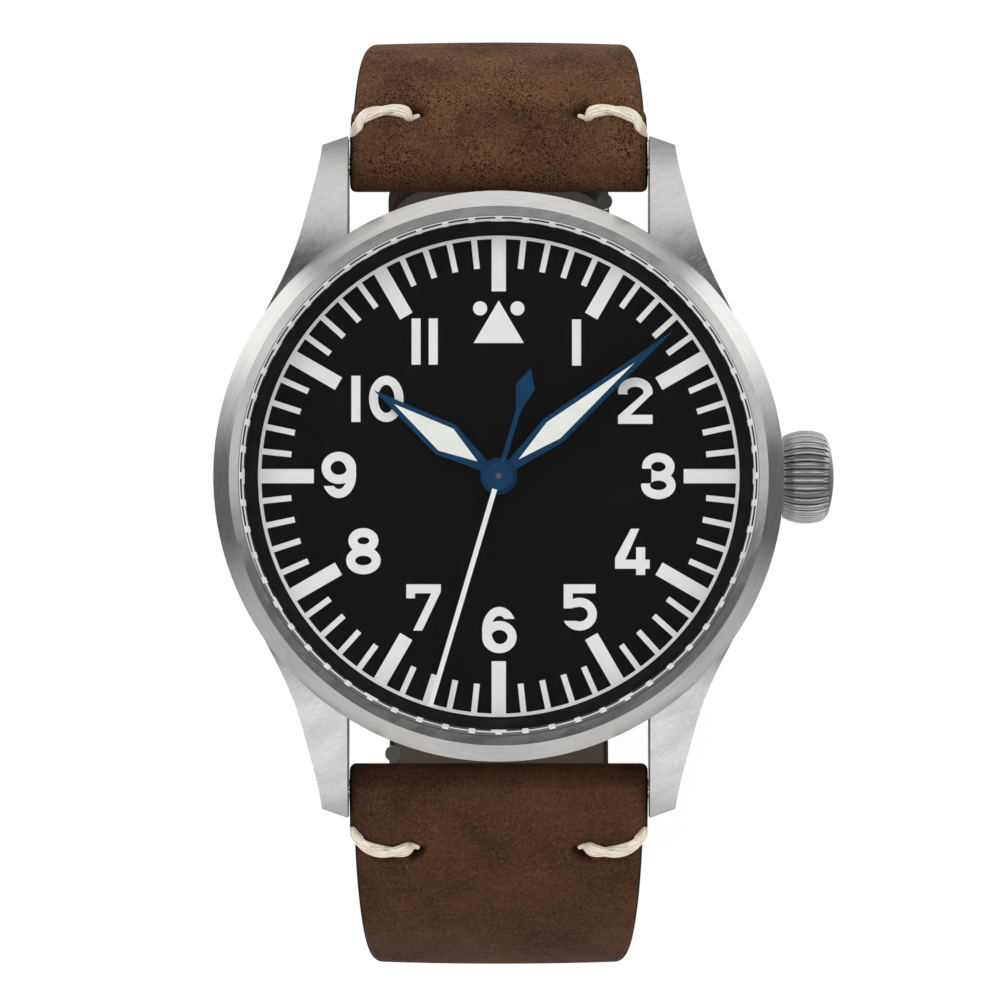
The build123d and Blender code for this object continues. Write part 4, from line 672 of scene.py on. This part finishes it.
def pore_group():
    """Napped leather: a web round small cells, sparse pits and broad mottling.

    The web is the inside of small cells bent by noise, fainter in patches, and pits are
    the middles of larger ones; both are dark. The tone is broad noise with fine noise
    over it, and fibres are the highest parts of the fine noise.
    """
    tree, take, give = new_group("Leather grain", [
        ("Vector", "Vector", None), ("Cells", "Float", 4700.0), ("Mottle", "Float", 170.0),
    ], [("Tone", "Float"), ("Pore", "Float"), ("Fibre", "Float"), ("Height", "Float")])
    bend = noise(tree, take["Vector"], take["Cells"], 2.0)["Color"]
    shift = vector_maths(tree, "MULTIPLY", bend, (0.0003, 0.0003, 0.0003))
    moved = vector_maths(tree, "ADD", take["Vector"], shift)
    small = add(tree, "TexVoronoi", {"Vector": moved, "Scale": take["Cells"]}, feature="DISTANCE_TO_EDGE")
    large = add(tree, "TexVoronoi", {"Vector": moved, "Scale": product(tree, take["Cells"], 0.28)})
    mottle = noise(tree, take["Vector"], take["Mottle"], 5.0, 0.62)["Fac"]
    nap = noise(tree, moved, take["Cells"], 3.0, 0.7)["Fac"]
    patch = noise(tree, moved, product(tree, take["Mottle"], 3.0), 2.0)["Fac"]
    worn = spread(tree, patch, 0.36, 0.64, 0.55, 1.0)
    web = product(tree, spread(tree, small.outputs["Distance"], 0.1, 0.24), worn)
    pore = maths(tree, "MAXIMUM", web, spread(tree, large.outputs["Distance"], 0.08, 0.2, 1.0, 0.0))
    tone = maths(tree, "ADD", product(tree, mottle, 0.5), product(tree, nap, 0.5))
    feed(tree, spread(tree, tone, 0.3, 0.7), give["Tone"])
    feed(tree, pore, give["Pore"])
    feed(tree, spread(tree, nap, 0.6, 0.72), give["Fibre"])
    feed(tree, maths(tree, "SUBTRACT", nap, product(tree, pore, 0.7)), give["Height"])
    return tree


GROUPS = {}


def place_group(tree, make, sockets):
    """Puts a shared group, made when it is first asked for, into a tree with its own values."""
    if make not in GROUPS:
        GROUPS[make] = make()
    return add(tree, "Group", sockets, node_tree=GROUPS[make]).outputs


def new_material(name, values):
    """Empty material, its tree, and its shader with values of its own."""
    material = bpy.data.materials.new(name)
    material.use_nodes = True
    tree = material.node_tree
    tree.nodes.clear()
    shader = add(tree, "BsdfPrincipled", values)
    add(tree, "OutputMaterial", {0: shader.outputs[0]})
    return material, tree, shader


def show(tree, surface):
    """Sends another shader to the material's output."""
    feed(tree, surface, tree.get_output_node("ALL").inputs[0])


def toned(tree, shader, colour, tone, low, high):
    """Gives a shader its colour, and a roughness that goes from low to high with the tone."""
    feed(tree, colour, shader.inputs["Base Color"])
    feed(tree, spread(tree, tone, 0.0, 1.0, low, high), shader.inputs["Roughness"])


def bumped(tree, shader, height, strength, distance):
    """Fine bump that follows a height."""
    bump = add(tree, "Bump", {"Height": height, "Strength": strength, "Distance": distance})
    feed(tree, bump.outputs[0], shader.inputs["Normal"])


def grained(tree, shader, vector, colour, change, low, high, fine, broad, blotches, depth):
    """Satin grain on a shader: the tone changes colour and roughness, and the height the bump."""
    grain = place_group(tree, grain_group, {
        "Vector": vector, "Fine": fine, "Broad": broad, "Blotches": blotches,
    })
    shades = scaled(colour, 1 - change), scaled(colour, 1 + change)
    toned(tree, shader, blend_colour(tree, grain["Tone"], *shades), grain["Tone"], low, high)
    bumped(tree, shader, grain["Height"], depth, METAL_BUMP)


def stretched(tree, scale, turn):
    """Object coordinates turned about Z, then stretched."""
    turned = add(tree, "VectorRotate", {"Vector": own_place(tree), "Angle": turn}, rotation_type="Z_AXIS")
    return vector_maths(tree, "MULTIPLY", turned.outputs[0], scale)


# Stretch and turn of each straight lay
LAYS = {"slant": ((0.2, 1.0, 3.0), -0.7), "length": ((0.08, 1.0, 1.0), 0.0)}


def metal(name, colour, rough, lay, fine, broad, blotches=0.4, change=0.14, depth=0.25):
    """Metal with a grain: round about Z, slanting, along its length, or even."""
    material, tree, shader = new_material(name, {"Metallic": 1.0})
    if lay == "round":
        vector = place_group(tree, turned_group, {"Vector": own_place(tree), "Round": 0.0012})["Vector"]
    elif lay in LAYS:
        vector = stretched(tree, *LAYS[lay])
    else:
        vector = own_place(tree)
    grained(tree, shader, vector, colour, change, rough * 0.8, rough * 1.25, fine, broad, blotches, depth)
    return material


def fluted_steel(name, colour, rough):
    """Steel of the crown, with painted shade down in its flutes, which follow the turn round the stem's line.
    """
    material, tree, shader = new_material(name, {"Metallic": 1.0})
    place = own_place(tree)
    parts = split(tree, place)
    turn = maths(tree, "ARCTAN2", parts[1], maths(tree, "SUBTRACT", parts[2], STEM_Z * MM))
    off = from_middle(tree, product(tree, turn, float(CROWN_FLUTES / (2 * np.pi))))
    barrel = spread(tree, parts[0], CROWN_END * MM, (CROWN_END + 0.05) * MM, 1.0, 0.0)
    # Painted shade down in each flute, on the fluted barrel only.
    valley = product(tree, spread(tree, off, 0.24, 0.44), barrel)
    grain = place_group(tree, grain_group, {"Vector": place, "Fine": 3000.0, "Broad": 600.0})
    steel = blend_colour(tree, grain["Tone"], scaled(colour, 0.85), colour)
    steel = blend_colour(tree, valley, steel, scaled(colour, 0.12))
    toned(tree, shader, steel, grain["Tone"], rough * 0.9, rough * 1.2)
    return material


def coated(name, colour, rough, change=0.12, fine=3000.0, depth=0.1, coat=0.0, gloss=0.5):
    """Paint, rubber, plastic or stone: one colour with slight mottling and a fine bump."""
    values = {"Coat Weight": coat, "Specular IOR Level": gloss}
    material, tree, shader = new_material(name, values)
    low, high = rough * 0.85, rough * 1.15
    grained(tree, shader, own_place(tree), colour, change, low, high, fine, fine / 9, 0.5, depth)
    return material


def seal_with_painted_light(name, pale, dark):
    """Pale seal with painted reflections: dark dashes for what the crystal's rim mirrors from between the
    minute marks.

    The painted dashes lie where the angle, counted in minutes, lies between two marks, inside the dashes'
    radius. A thin dark line of painted shade runs where the seal meets the bezel. On the six o'clock side
    painted shade darkens the seal and the marks are painted light on it.
    """
    material, tree, shader = new_material(name, {"Roughness": 0.5})
    place = own_place(tree)
    face = split(tree, place_group(tree, turned_group, {"Vector": place, "Round": 1.0})["Vector"])
    off = from_middle(tree, product(tree, face[1], float(30 / np.pi)))
    # Painted shade: a thin dark line where the seal meets the bezel.
    line = spread(tree, face[0], (SEAL_RADIUS - 0.07) * MM, (SEAL_RADIUS - 0.04) * MM)
    band = spread(tree, face[0], PAINTED_DASH_RADIUS * MM, (PAINTED_DASH_RADIUS + 0.03) * MM, 1.0, 0.0)
    # Painted shade over the six o'clock side.
    low = spread(tree, maths(tree, "DIVIDE", split(tree, place)[1], face[0]), -0.2, -0.45)
    # Painted reflections: the marks light on the shaded side, and dark dashes between them elsewhere, inside
    # the dashes' radius.
    painted_mark = product(tree, product(tree, spread(tree, off, 0.36, 0.4), low), band)
    lit = product(tree, band, maths(tree, "SUBTRACT", 1.0, low))
    painted_dash = product(tree, spread(tree, off, 0.36, 0.4, 1.0, 0.0), lit)
    colour = blend_colour(tree, noise(tree, place, 3000.0, 2.0)["Fac"], scaled(pale, 0.85), pale)
    for share, over in (
        (product(tree, low, 0.85), dark), (product(tree, line, 0.75), dark), (painted_mark, pale), (painted_dash, dark),
    ):
        colour = blend_colour(tree, share, colour, over)
    feed(tree, colour, shader.inputs["Base Color"])
    return material


def glass(name):
    """Clear crystal: a glass shader that lets rays from lamps through to the dial."""
    material, tree, shader = new_material(name, {
        "Base Color": (1.0, 1.0, 1.0), "Transmission Weight": 1.0, "Roughness": 0.0, "IOR": 1.5,
    })
    clear = add(tree, "BsdfTransparent").outputs[0]
    shadow = add(tree, "LightPath").outputs["Is Shadow Ray"]
    show(tree, blend_shader(tree, shadow, shader.outputs[0], clear))
    return material


def leather(name, dark, light, fleck, rim, cells=4700.0, depth=0.5, pores=1.0):
    """Napped leather from the shared grain, with painted rims and painted shade in its folds.

    The rim values of the mesh darken it along its painted edges, and the fold values put painted shade round
    the stitches and by the spring bar; fibres of the fleck colour show on the high nap.
    """
    material, tree, shader = new_material(name, {"Specular IOR Level": 0.15})
    grain = place_group(tree, pore_group, {"Vector": own_place(tree), "Cells": cells})
    fold, edge = (add(tree, "Attribute", attribute_name=label).outputs["Fac"] for label in ("fold", "rim"))
    deep = scaled(dark, 0.3)
    colour = blend_colour(tree, grain["Tone"], dark, light)
    # The fold value blends to the deep colour as painted shade; the pores blend to it as the grain's own
    # dark.
    for share, over in (
        (product(tree, grain["Fibre"], 0.5), fleck), (product(tree, grain["Pore"], pores), deep),
        (product(tree, fold, 0.6, held=True), deep), (spread(tree, edge, 0.15, 0.8), rim),
    ):
        colour = blend_colour(tree, share, colour, over)
    toned(tree, shader, colour, grain["Tone"], 0.85, 0.7)
    bumped(tree, shader, grain["Height"], depth, LEATHER_BUMP)
    return material


def thread(name, dark, light):
    """Linen: fibres that run along each ply, as noise stretched along the piece's own UV."""
    material, tree, shader = new_material(name, {"Sheen Weight": 0.1})
    along = vector_maths(tree, "MULTIPLY", add(tree, "TexCoord").outputs["UV"], (9000.0, 900.0, 0.0))
    fibre = noise(tree, along, 1.0, 4.0, 0.65)["Fac"]
    tone = blend_colour(tree, spread(tree, fibre, 0.34, 0.62), dark, light)
    feed(tree, tone, shader.inputs["Base Color"])
    feed(tree, spread(tree, fibre, 0.3, 0.7, 0.62, 0.42), shader.inputs["Roughness"])
    bumped(tree, shader, fibre, 0.6, THREAD_BUMP)
    return material


def dress(material, *names):
    """Puts one finish on CAD nodes, over every slot they have."""
    for name in names:
        for slot in nodes[name].material_slots:
            slot.material = material
        if not nodes[name].material_slots:
            nodes[name].data.materials.append(material)


def chosen(values, *names):
    """Colours that are set in a group of settings."""
    return [tuple(getattr(values, name)) for name in names]


def settle(piece, body, slot, *stands_for):
    """Ties a finished piece to its body and hides the CAD nodes that it stands for; the slot of its finish is
    not used.
    """
    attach(piece, body)
    if stands_for:
        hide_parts(*stands_for)


# ---- Settings ----
def tint(name, text, *levels):
    """Colour setting with a default of three sRGB levels."""
    return FloatVectorProperty(
        name=name, description=text, subtype="COLOR", min=0.0, max=1.0, default=srgb(*levels))


class CaseSettings(bpy.types.PropertyGroup):
    """Steel of the case, bezel and crown."""
    steel: tint("Steel", "Colour of the steel", 216, 215, 213)
    satin: FloatProperty(
        name="Satin", description="Roughness of the satin steel", default=0.2, min=0.05, max=1.0)
    polish: FloatProperty(
        name="Polish", description="Roughness of the polished steel", default=0.12, min=0.0, max=1.0)


class DialSettings(bpy.types.PropertyGroup):
    """Dial, print and hands."""
    dial: tint("Dial", "Colour of the dial and its flange", 14, 12, 14)
    print_colour: tint("Print", "Colour of the figures and the minute track", 240, 240, 238)
    hand: tint("Hands", "Lacquer of the hands", 17, 60, 95)
    lume: tint("Luminous fill", "Colour of the fill in the hands", 240, 243, 236)


class StrapSettings(bpy.types.PropertyGroup):
    """Leather of the strap and keepers."""
    dark: tint("Dark leather", "Darker tone of the outer leather", 68, 44, 27)
    light: tint("Light leather", "Lighter tone of the outer leather", 122, 84, 53)
    fleck: tint("Fibres", "Colour of the raised fibres", 150, 97, 58)
    # The long half's tones are the same leather set darker, as painted shade.
    long_dark: tint("Dark leather, long half", "Darker tone of the long half", 46, 28, 19)
    long_light: tint("Light leather, long half", "Lighter tone of the long half", 91, 58, 39)
    long_fleck: tint("Fibres, long half", "Colour of the long half's fibres", 120, 70, 37)
    rim: tint("Painted edge", "Colour of the painted edges", 20, 16, 15)
    lining: tint("Lining", "Colour of the lining leather", 84, 74, 66)


class StitchSettings(bpy.types.PropertyGroup):
    """Thread of the four heavy stitches."""
    dark: tint("Thread shade", "Shaded fibres of the thread", 178, 163, 138)
    light: tint("Thread", "Lit fibres of the thread", 240, 233, 216)


class StudioSettings(bpy.types.PropertyGroup):
    """Camera, floor and light."""
    distance: FloatProperty(
        name="Distance", description="Camera to the bezel", default=0.45, min=0.1, unit="LENGTH")
    tilt: FloatProperty(
        name="Tilt", description="Camera's lean to the six o'clock side", default=0.01745, subtype="ANGLE")
    lens: FloatProperty(name="Lens", description="Focal length in millimetres", default=244.4, min=10.0)
    lamp: FloatProperty(
        name="Lamp", description="Power of the large soft lamp", default=1.35, min=0.0, unit="POWER")
    world: FloatProperty(name="Surround", description="Brightness of the surround", default=0.97, min=0.0)


# ---- Operators ----
class WATCH_OT_case(bpy.types.Operator):
    """Finish the case, bezel, crystal, case back and crown"""
    bl_idname = "watch.case"
    bl_label = "Case and crown"

    def execute(self, context):
        values = context.scene.watch_case
        steel = tuple(values.steel)
        satin, polish = values.satin, values.polish
        dress(metal("satin_case", steel, satin, "slant", 7000.0, 700.0, 0.25, 0.3, 0.03), "mid_case")
        dress(metal("satin_bezel", steel, satin * 0.85, "slant", 7000.0, 900.0, 0.3, 0.12, 0.04), "bezel")
        dress(metal("turned_back", steel, satin, "round", 6000.0, 1500.0), "case_back")
        dress(fluted_steel("fluted_crown", steel, polish * 2.5), "crown")
        dress(metal("polished_tube", steel, polish, "even", 1500.0, 300.0, 0.5, 0.03, 0.05), "crown_tube")
        dress(glass("crystal_clear"), "crystal")
        dress(seal_with_painted_light("pale_seal", srgb(236, 236, 234), srgb(16, 16, 16)), "crystal_gasket")
        dress(coated("black_seal", srgb(24, 24, 25), 0.6), "case_back_gasket", "crown_gasket")
        return {"FINISHED"}


class WATCH_OT_dial(bpy.types.Operator):
    """Finish the dial, its print and the hands"""
    bl_idname = "watch.dial"
    bl_label = "Dial and hands"

    def execute(self, context):
        black, white, blue, fill = chosen(context.scene.watch_dial, "dial", "print_colour", "hand", "lume")
        dress(coated("matt_dial", black, 0.55, 0.2, 6000.0, 0.1, gloss=0.04), "dial", "flange_ring")
        dress(coated("white_print", white, 0.5, 0.04, 5000.0, 0.2, gloss=0.3),
              "dial_numerals", "dial_minute_track", "seconds_needle")
        dress(coated("blue_lacquer", blue, 0.4, 0.06, 4000.0, 0.05, gloss=0.06),
              "hour_hand", "minute_hand", "seconds_hand")
        dress(coated("luminous_fill", fill, 0.6, 0.04, 7000.0, 0.3), "hour_hand_lume", "minute_hand_lume")
        return {"FINISHED"}


class WATCH_OT_movement(bpy.types.Operator):
    """Finish the movement and its holder"""
    bl_idname = "watch.movement"
    bl_label = "Movement"

    def execute(self, context):
        plate = metal("plate_nickel", srgb(205, 200, 190), 0.28, "length", 5200.0, 900.0, 0.35, 0.1)
        dress(plate, "main_plate", "barrel_bridge", "train_bridge", "balance_cock")
        dress(metal("rotor_nickel", srgb(200, 196, 188), 0.25, "round", 8000.0, 2000.0, 0.3, 0.1), "rotor")
        brass = metal("gilt_brass", srgb(206, 170, 96), 0.25, "round", 7000.0, 1500.0, 0.3, 0.1)
        dress(brass, "center_wheel", "third_wheel", "hour_wheel", "minute_wheel", "barrel_drum",
              "balance_wheel")
        tool = metal("bright_tool_steel", srgb(190, 190, 192), 0.2, "even", 6000.0, 1200.0, 0.4, 0.08)
        dress(tool, "fourth_wheel", "escape_wheel", "pallet_fork", "cannon_pinion", "crown_wheel",
              "ratchet_wheel", "click", "mainspring", "winding_stem", "winding_pinion", "sliding_clutch",
              "bridge_screws")
        blued = metal("blued_hairspring", srgb(50, 70, 130), 0.25, "even", 6000.0, 1200.0, 0.4, 0.1)
        dress(blued, "hairspring")
        dress(coated("ruby_jewel", srgb(170, 20, 50), 0.12, 0.1, 2500.0, 0.02, coat=0.6), "jewels")
        dress(coated("holder_grey", srgb(120, 120, 118), 0.5), "movement_ring")
        return {"FINISHED"}


class WATCH_OT_strap(bpy.types.Operator):
    """Build both halves of the strap with their linings"""
    bl_idname = "watch.strap"
    bl_label = "Strap"

    def execute(self, context):
        values = context.scene.watch_strap
        rim, tan = chosen(values, "rim", "lining")
        hide = leather("brown_leather", *chosen(values, "dark", "light", "fleck"), rim)
        backing = leather("lining_leather", scaled(tan, 0.7), tan, tan, rim, 7000.0, 0.25, 0.3)
        short, path, length = leather_half("strap_short_leather", 1, hide)
        slot = peg(-SLOT_HALF, SLOT_HALF, path, 1, length, SLOT_RADIUS, THROUGH)
        slot[..., 1] += (slot[..., 1] - BUCKLE_Y) * (SLOT_STRETCH - 1)
        cut_away(short, [grid_piece("slot", slot, hide)])
        settle(short, "strap_12", "strap_leather", "strap_short")
        short_backing = lining_half("strap_short_backing", 1, backing)
        settle(short_backing, "strap_12", "lining_leather", "strap_short_lining")
        # The long half takes the darker tones of the same leather as painted shade, with fainter pores.
        tones = chosen(values, "long_dark", "long_light", "long_fleck")
        hide = leather("brown_leather_long", *tones, rim, pores=0.4)
        long_half, path, length = leather_half("strap_long_leather", -1, hide)
        backing_half = lining_half("strap_long_backing", -1, backing)
        holes = SHORT_LENGTH - HOLES_BACK + HOLE_PITCH * np.arange(HOLE_COUNT)
        for piece in (long_half, backing_half):
            pegs = [peg(0, 0, path, -1, place, HOLE_RADIUS, THROUGH) for place in holes]
            cut_away(piece, [grid_piece("hole", points, hide) for points in pegs])
        settle(long_half, "strap_6", "strap_leather", "strap_long")
        settle(backing_half, "strap_6", "lining_leather", "strap_long_lining")
        return {"FINISHED"}


class WATCH_OT_stitches(bpy.types.Operator):
    """Build the four heavy stitches"""
    bl_idname = "watch.stitches"
    bl_label = "Stitches"

    def execute(self, context):
        values = context.scene.watch_stitch
        waxed = thread("waxed_thread", *chosen(values, "dark", "light"))
        settle(stitch_cords("stitches_top", 1, waxed), "strap_12", "stitch_thread", "stitches_short")
        settle(stitch_cords("stitches_bottom", -1, waxed), "strap_6", "stitch_thread", "stitches_long")
        return {"FINISHED"}


class WATCH_OT_keepers(bpy.types.Operator):
    """Build the fixed and the sliding keeper"""
    bl_idname = "watch.keepers"
    bl_label = "Keepers"

    def execute(self, context):
        values = context.scene.watch_strap
        hide = leather("keeper_leather", *chosen(values, "dark", "light", "fleck", "rim"))
        fixed = keeper_loop("keeper_fixed", FIXED_KEEPER_Y, hide)
        settle(fixed, "strap_12", "strap_leather", "fixed_keeper")
        sliding = keeper_loop("keeper_sliding", SLIDING_KEEPER_Y, hide)
        settle(sliding, "sliding_keeper", "strap_leather", "free_keeper")
        return {"FINISHED"}


class WATCH_OT_buckle(bpy.types.Operator):
    """Finish the buckle, the spring bars and their release pins"""
    bl_idname = "watch.buckle"
    bl_label = "Buckle and bars"

    def execute(self, context):
        values = context.scene.watch_case
        steel = tuple(values.steel)
        dress(metal("satin_buckle", steel, values.satin, "length", 4500.0, 600.0, 0.4, 0.1), "buckle_frame")
        bright = metal("polished_bars", steel, values.polish, "even", 2500.0, 400.0, 0.5, 0.05, 0.08)
        dress(bright, "buckle_bar", "buckle_tang", "spring_bar_12", "spring_bar_6", "release_pin_12",
              "release_pin_6")
        return {"FINISHED"}


def round_levels(tree, turn, levels):
    """Brightness that follows a direction's turn from twelve to six o'clock.

    levels holds pairs of a turn in degrees and the sRGB level that the steel shows there.
    """
    ramp = add(tree, "ValToRGB", {0: turn})
    stops = ramp.color_ramp.elements
    while len(stops) < len(levels):
        stops.new(0.5)
    for stop, (angle, level) in zip(stops, levels):
        stop.position = angle / 180
        share = srgb(level, level, level)[0] / STEEL_SHARE / RAMP_TOP
        stop.color = (share, share, share, 1.0)
    return product(tree, ramp.outputs[0], RAMP_TOP)


def surround(strength):
    """World: plain for diffuse light, white to the camera, and shaped for reflections.

    Reflections see two belts by the turn acos(y / sqrt(x^2 + y^2)), a low one for the
    bezel's slope and one at half height for its inner ring, and above them a sky that is
    dark round the mirror image of the camera. Rays that come through the crystal see the
    same from the front, and white downwards, but not once they have left a matt surface.
    """
    world = bpy.data.worlds.new("surround")
    world.use_nodes = True
    tree = world.node_tree
    tree.nodes.clear()
    way = add(tree, "TexCoord").outputs["Generated"]
    parts = split(tree, way)
    flat = maths(tree, "SQRT", maths(tree, "ADD", flat_squared(tree, parts), 0.0001))
    ahead = maths(tree, "ARCCOSINE", maths(tree, "DIVIDE", parts[1], flat))
    turn = maths(tree, "DIVIDE", ahead, float(np.pi))
    facing = add(tree, "VectorMath", {0: way, 1: CAMERA_IMAGE}, operation="DOT_PRODUCT").outputs["Value"]
    low, half = (round_levels(tree, turn, belt) for belt in (LOW_BELT, HALF_BELT))
    belts = blend_value(tree, spread(tree, parts[2], 0.05, 0.4), low, half)
    sky = spread(tree, facing, 0.955, 0.983, 0.95, 0.05)
    shaped = blend_value(tree, spread(tree, parts[2], 0.74, 0.8), belts, sky)
    ray = add(tree, "LightPath").outputs
    sharp = maths(tree, "ADD", ray["Is Glossy Ray"], ray["Is Transmission Ray"], held=True)
    sharp = maths(tree, "SUBTRACT", sharp, ray["Diffuse Depth"], held=True)
    mirror = blend_value(tree, sharp, strength, shaped)
    through = product(tree, ray["Is Transmission Ray"], spread(tree, parts[2], 0.0, 0.2, 1.0, 0.0))
    clear = maths(tree, "ADD", ray["Is Camera Ray"], through, held=True)
    whole = blend_value(tree, clear, mirror, 1.0)
    back = add(tree, "Background", {"Color": (1.0, 1.0, 1.0), "Strength": whole})
    add(tree, "OutputWorld", {0: back.outputs[0]})
    bpy.context.scene.world = world


def flat_sheet(name, corners, material):
    """Flat four-cornered sheet for the stage, from corners in metres."""
    mesh = bpy.data.meshes.new(name)
    mesh.from_pydata(corners, [], [(0, 1, 2, 3)])
    mesh.materials.append(material)
    sheet = placed(name, mesh)
    return sheet


def pale_floor():
    """Floor finish: pale paint that takes shadows, shown mostly as white, and clear from below."""
    material, tree, shader = new_material("pale_floor", {"Roughness": 0.8})
    speck = noise(tree, own_place(tree), 40.0, 3.0)["Fac"]
    feed(tree, blend_colour(tree, speck, (0.84,) * 3, (0.88,) * 3), shader.inputs["Base Color"])
    ray = add(tree, "LightPath").outputs
    seen = maths(tree, "ADD", ray["Is Camera Ray"], ray["Is Glossy Ray"], held=True)
    seen = maths(tree, "ADD", seen, ray["Is Transmission Ray"], held=True)
    white = add(tree, "Emission", {"Strength": 1.06}).outputs[0]
    top = blend_shader(tree, product(tree, seen, 0.82), shader.outputs[0], white)
    below = add(tree, "NewGeometry").outputs["Backfacing"]
    show(tree, blend_shader(tree, below, top, add(tree, "BsdfTransparent").outputs[0]))
    return material


def soft_lamp(name, place, size, power):
    """Square area lamp that faces the watch."""
    lamp = bpy.data.lights.new(name, "AREA")
    lamp.size = size
    lamp.energy = power
    holder = placed(name, lamp)
    holder.location = place
    holder.rotation_euler = (-holder.location).to_track_quat("-Z", "Y").to_euler()
    holder.visible_glossy = False


class WATCH_OT_studio(bpy.types.Operator):
    """Set up the floor, the light and the camera"""
    bl_idname = "watch.studio"
    bl_label = "Studio"

    def execute(self, context):
        values = context.scene.watch_studio
        scene = context.scene
        scene.view_settings.view_transform = "Standard"
        surround(values.world)
        low = CAD_BOX[0][2] - FLOOR_DROP
        corners = [(x * FLOOR_HALF, y * FLOOR_HALF, low) for x, y in ((-1, -1), (1, -1), (1, 1), (-1, 1))]
        floor = flat_sheet("floor", corners, pale_floor())
        floor.visible_glossy = False
        soft_lamp("key_lamp", (-0.32, 0.42, 0.6), 0.5, values.lamp)
        soft_lamp("fill_lamp", (0.45, -0.3, 0.5), 0.6, values.lamp * 0.5)
        camera = bpy.data.cameras.new("camera")
        camera.lens = values.lens
        camera.clip_start = 0.01
        holder = placed("camera", camera)
        target = np.array(CAMERA_TARGET) * MM
        lean = np.array([0.0, -np.sin(values.tilt), np.cos(values.tilt)])
        holder.location = target + lean * values.distance
        holder.rotation_euler = (values.tilt, 0.0, 0.0)
        scene.camera = holder
        return {"FINISHED"}


class WATCH_PT_panel(bpy.types.Panel):
    """Settings and steps of the watch"""
    bl_label = "Pilot watch"
    bl_space_type = "VIEW_3D"
    bl_region_type = "UI"
    bl_category = "Watch"

    def draw(self, context):
        for title, kind, steps in SECTIONS:
            box = self.layout.box()
            box.label(text=title)
            for name in kind.__annotations__:
                box.prop(getattr(context.scene, "watch_" + title), name)
            for step in steps:
                box.operator(step.bl_idname)


SECTIONS = (
    ("studio", StudioSettings, (WATCH_OT_studio,)),
    ("case", CaseSettings, (WATCH_OT_case, WATCH_OT_buckle)),
    ("dial", DialSettings, (WATCH_OT_dial, WATCH_OT_movement)),
    ("strap", StrapSettings, (WATCH_OT_strap, WATCH_OT_keepers)),
    ("stitch", StitchSettings, (WATCH_OT_stitches,)),
)


def register():
    """Registers the settings, the operators and the panel."""
    for title, kind, steps in SECTIONS:
        bpy.utils.register_class(kind)
        setattr(bpy.types.Scene, "watch_" + title, PointerProperty(type=kind))
        for step in steps:
            bpy.utils.register_class(step)
    bpy.utils.register_class(WATCH_PT_panel)


def unregister():
    """Takes back all that register added."""
    bpy.utils.unregister_class(WATCH_PT_panel)
    for title, kind, steps in reversed(SECTIONS):
        for step in steps:
            bpy.utils.unregister_class(step)
        delattr(bpy.types.Scene, "watch_" + title)
        bpy.utils.unregister_class(kind)


def main():
    """Runs every step in order."""
    register()
    for title, kind, steps in SECTIONS:
        for step in steps:
            getattr(bpy.ops.watch, step.bl_idname.split(".")[1])()


if __name__ == "__main__":
    main()
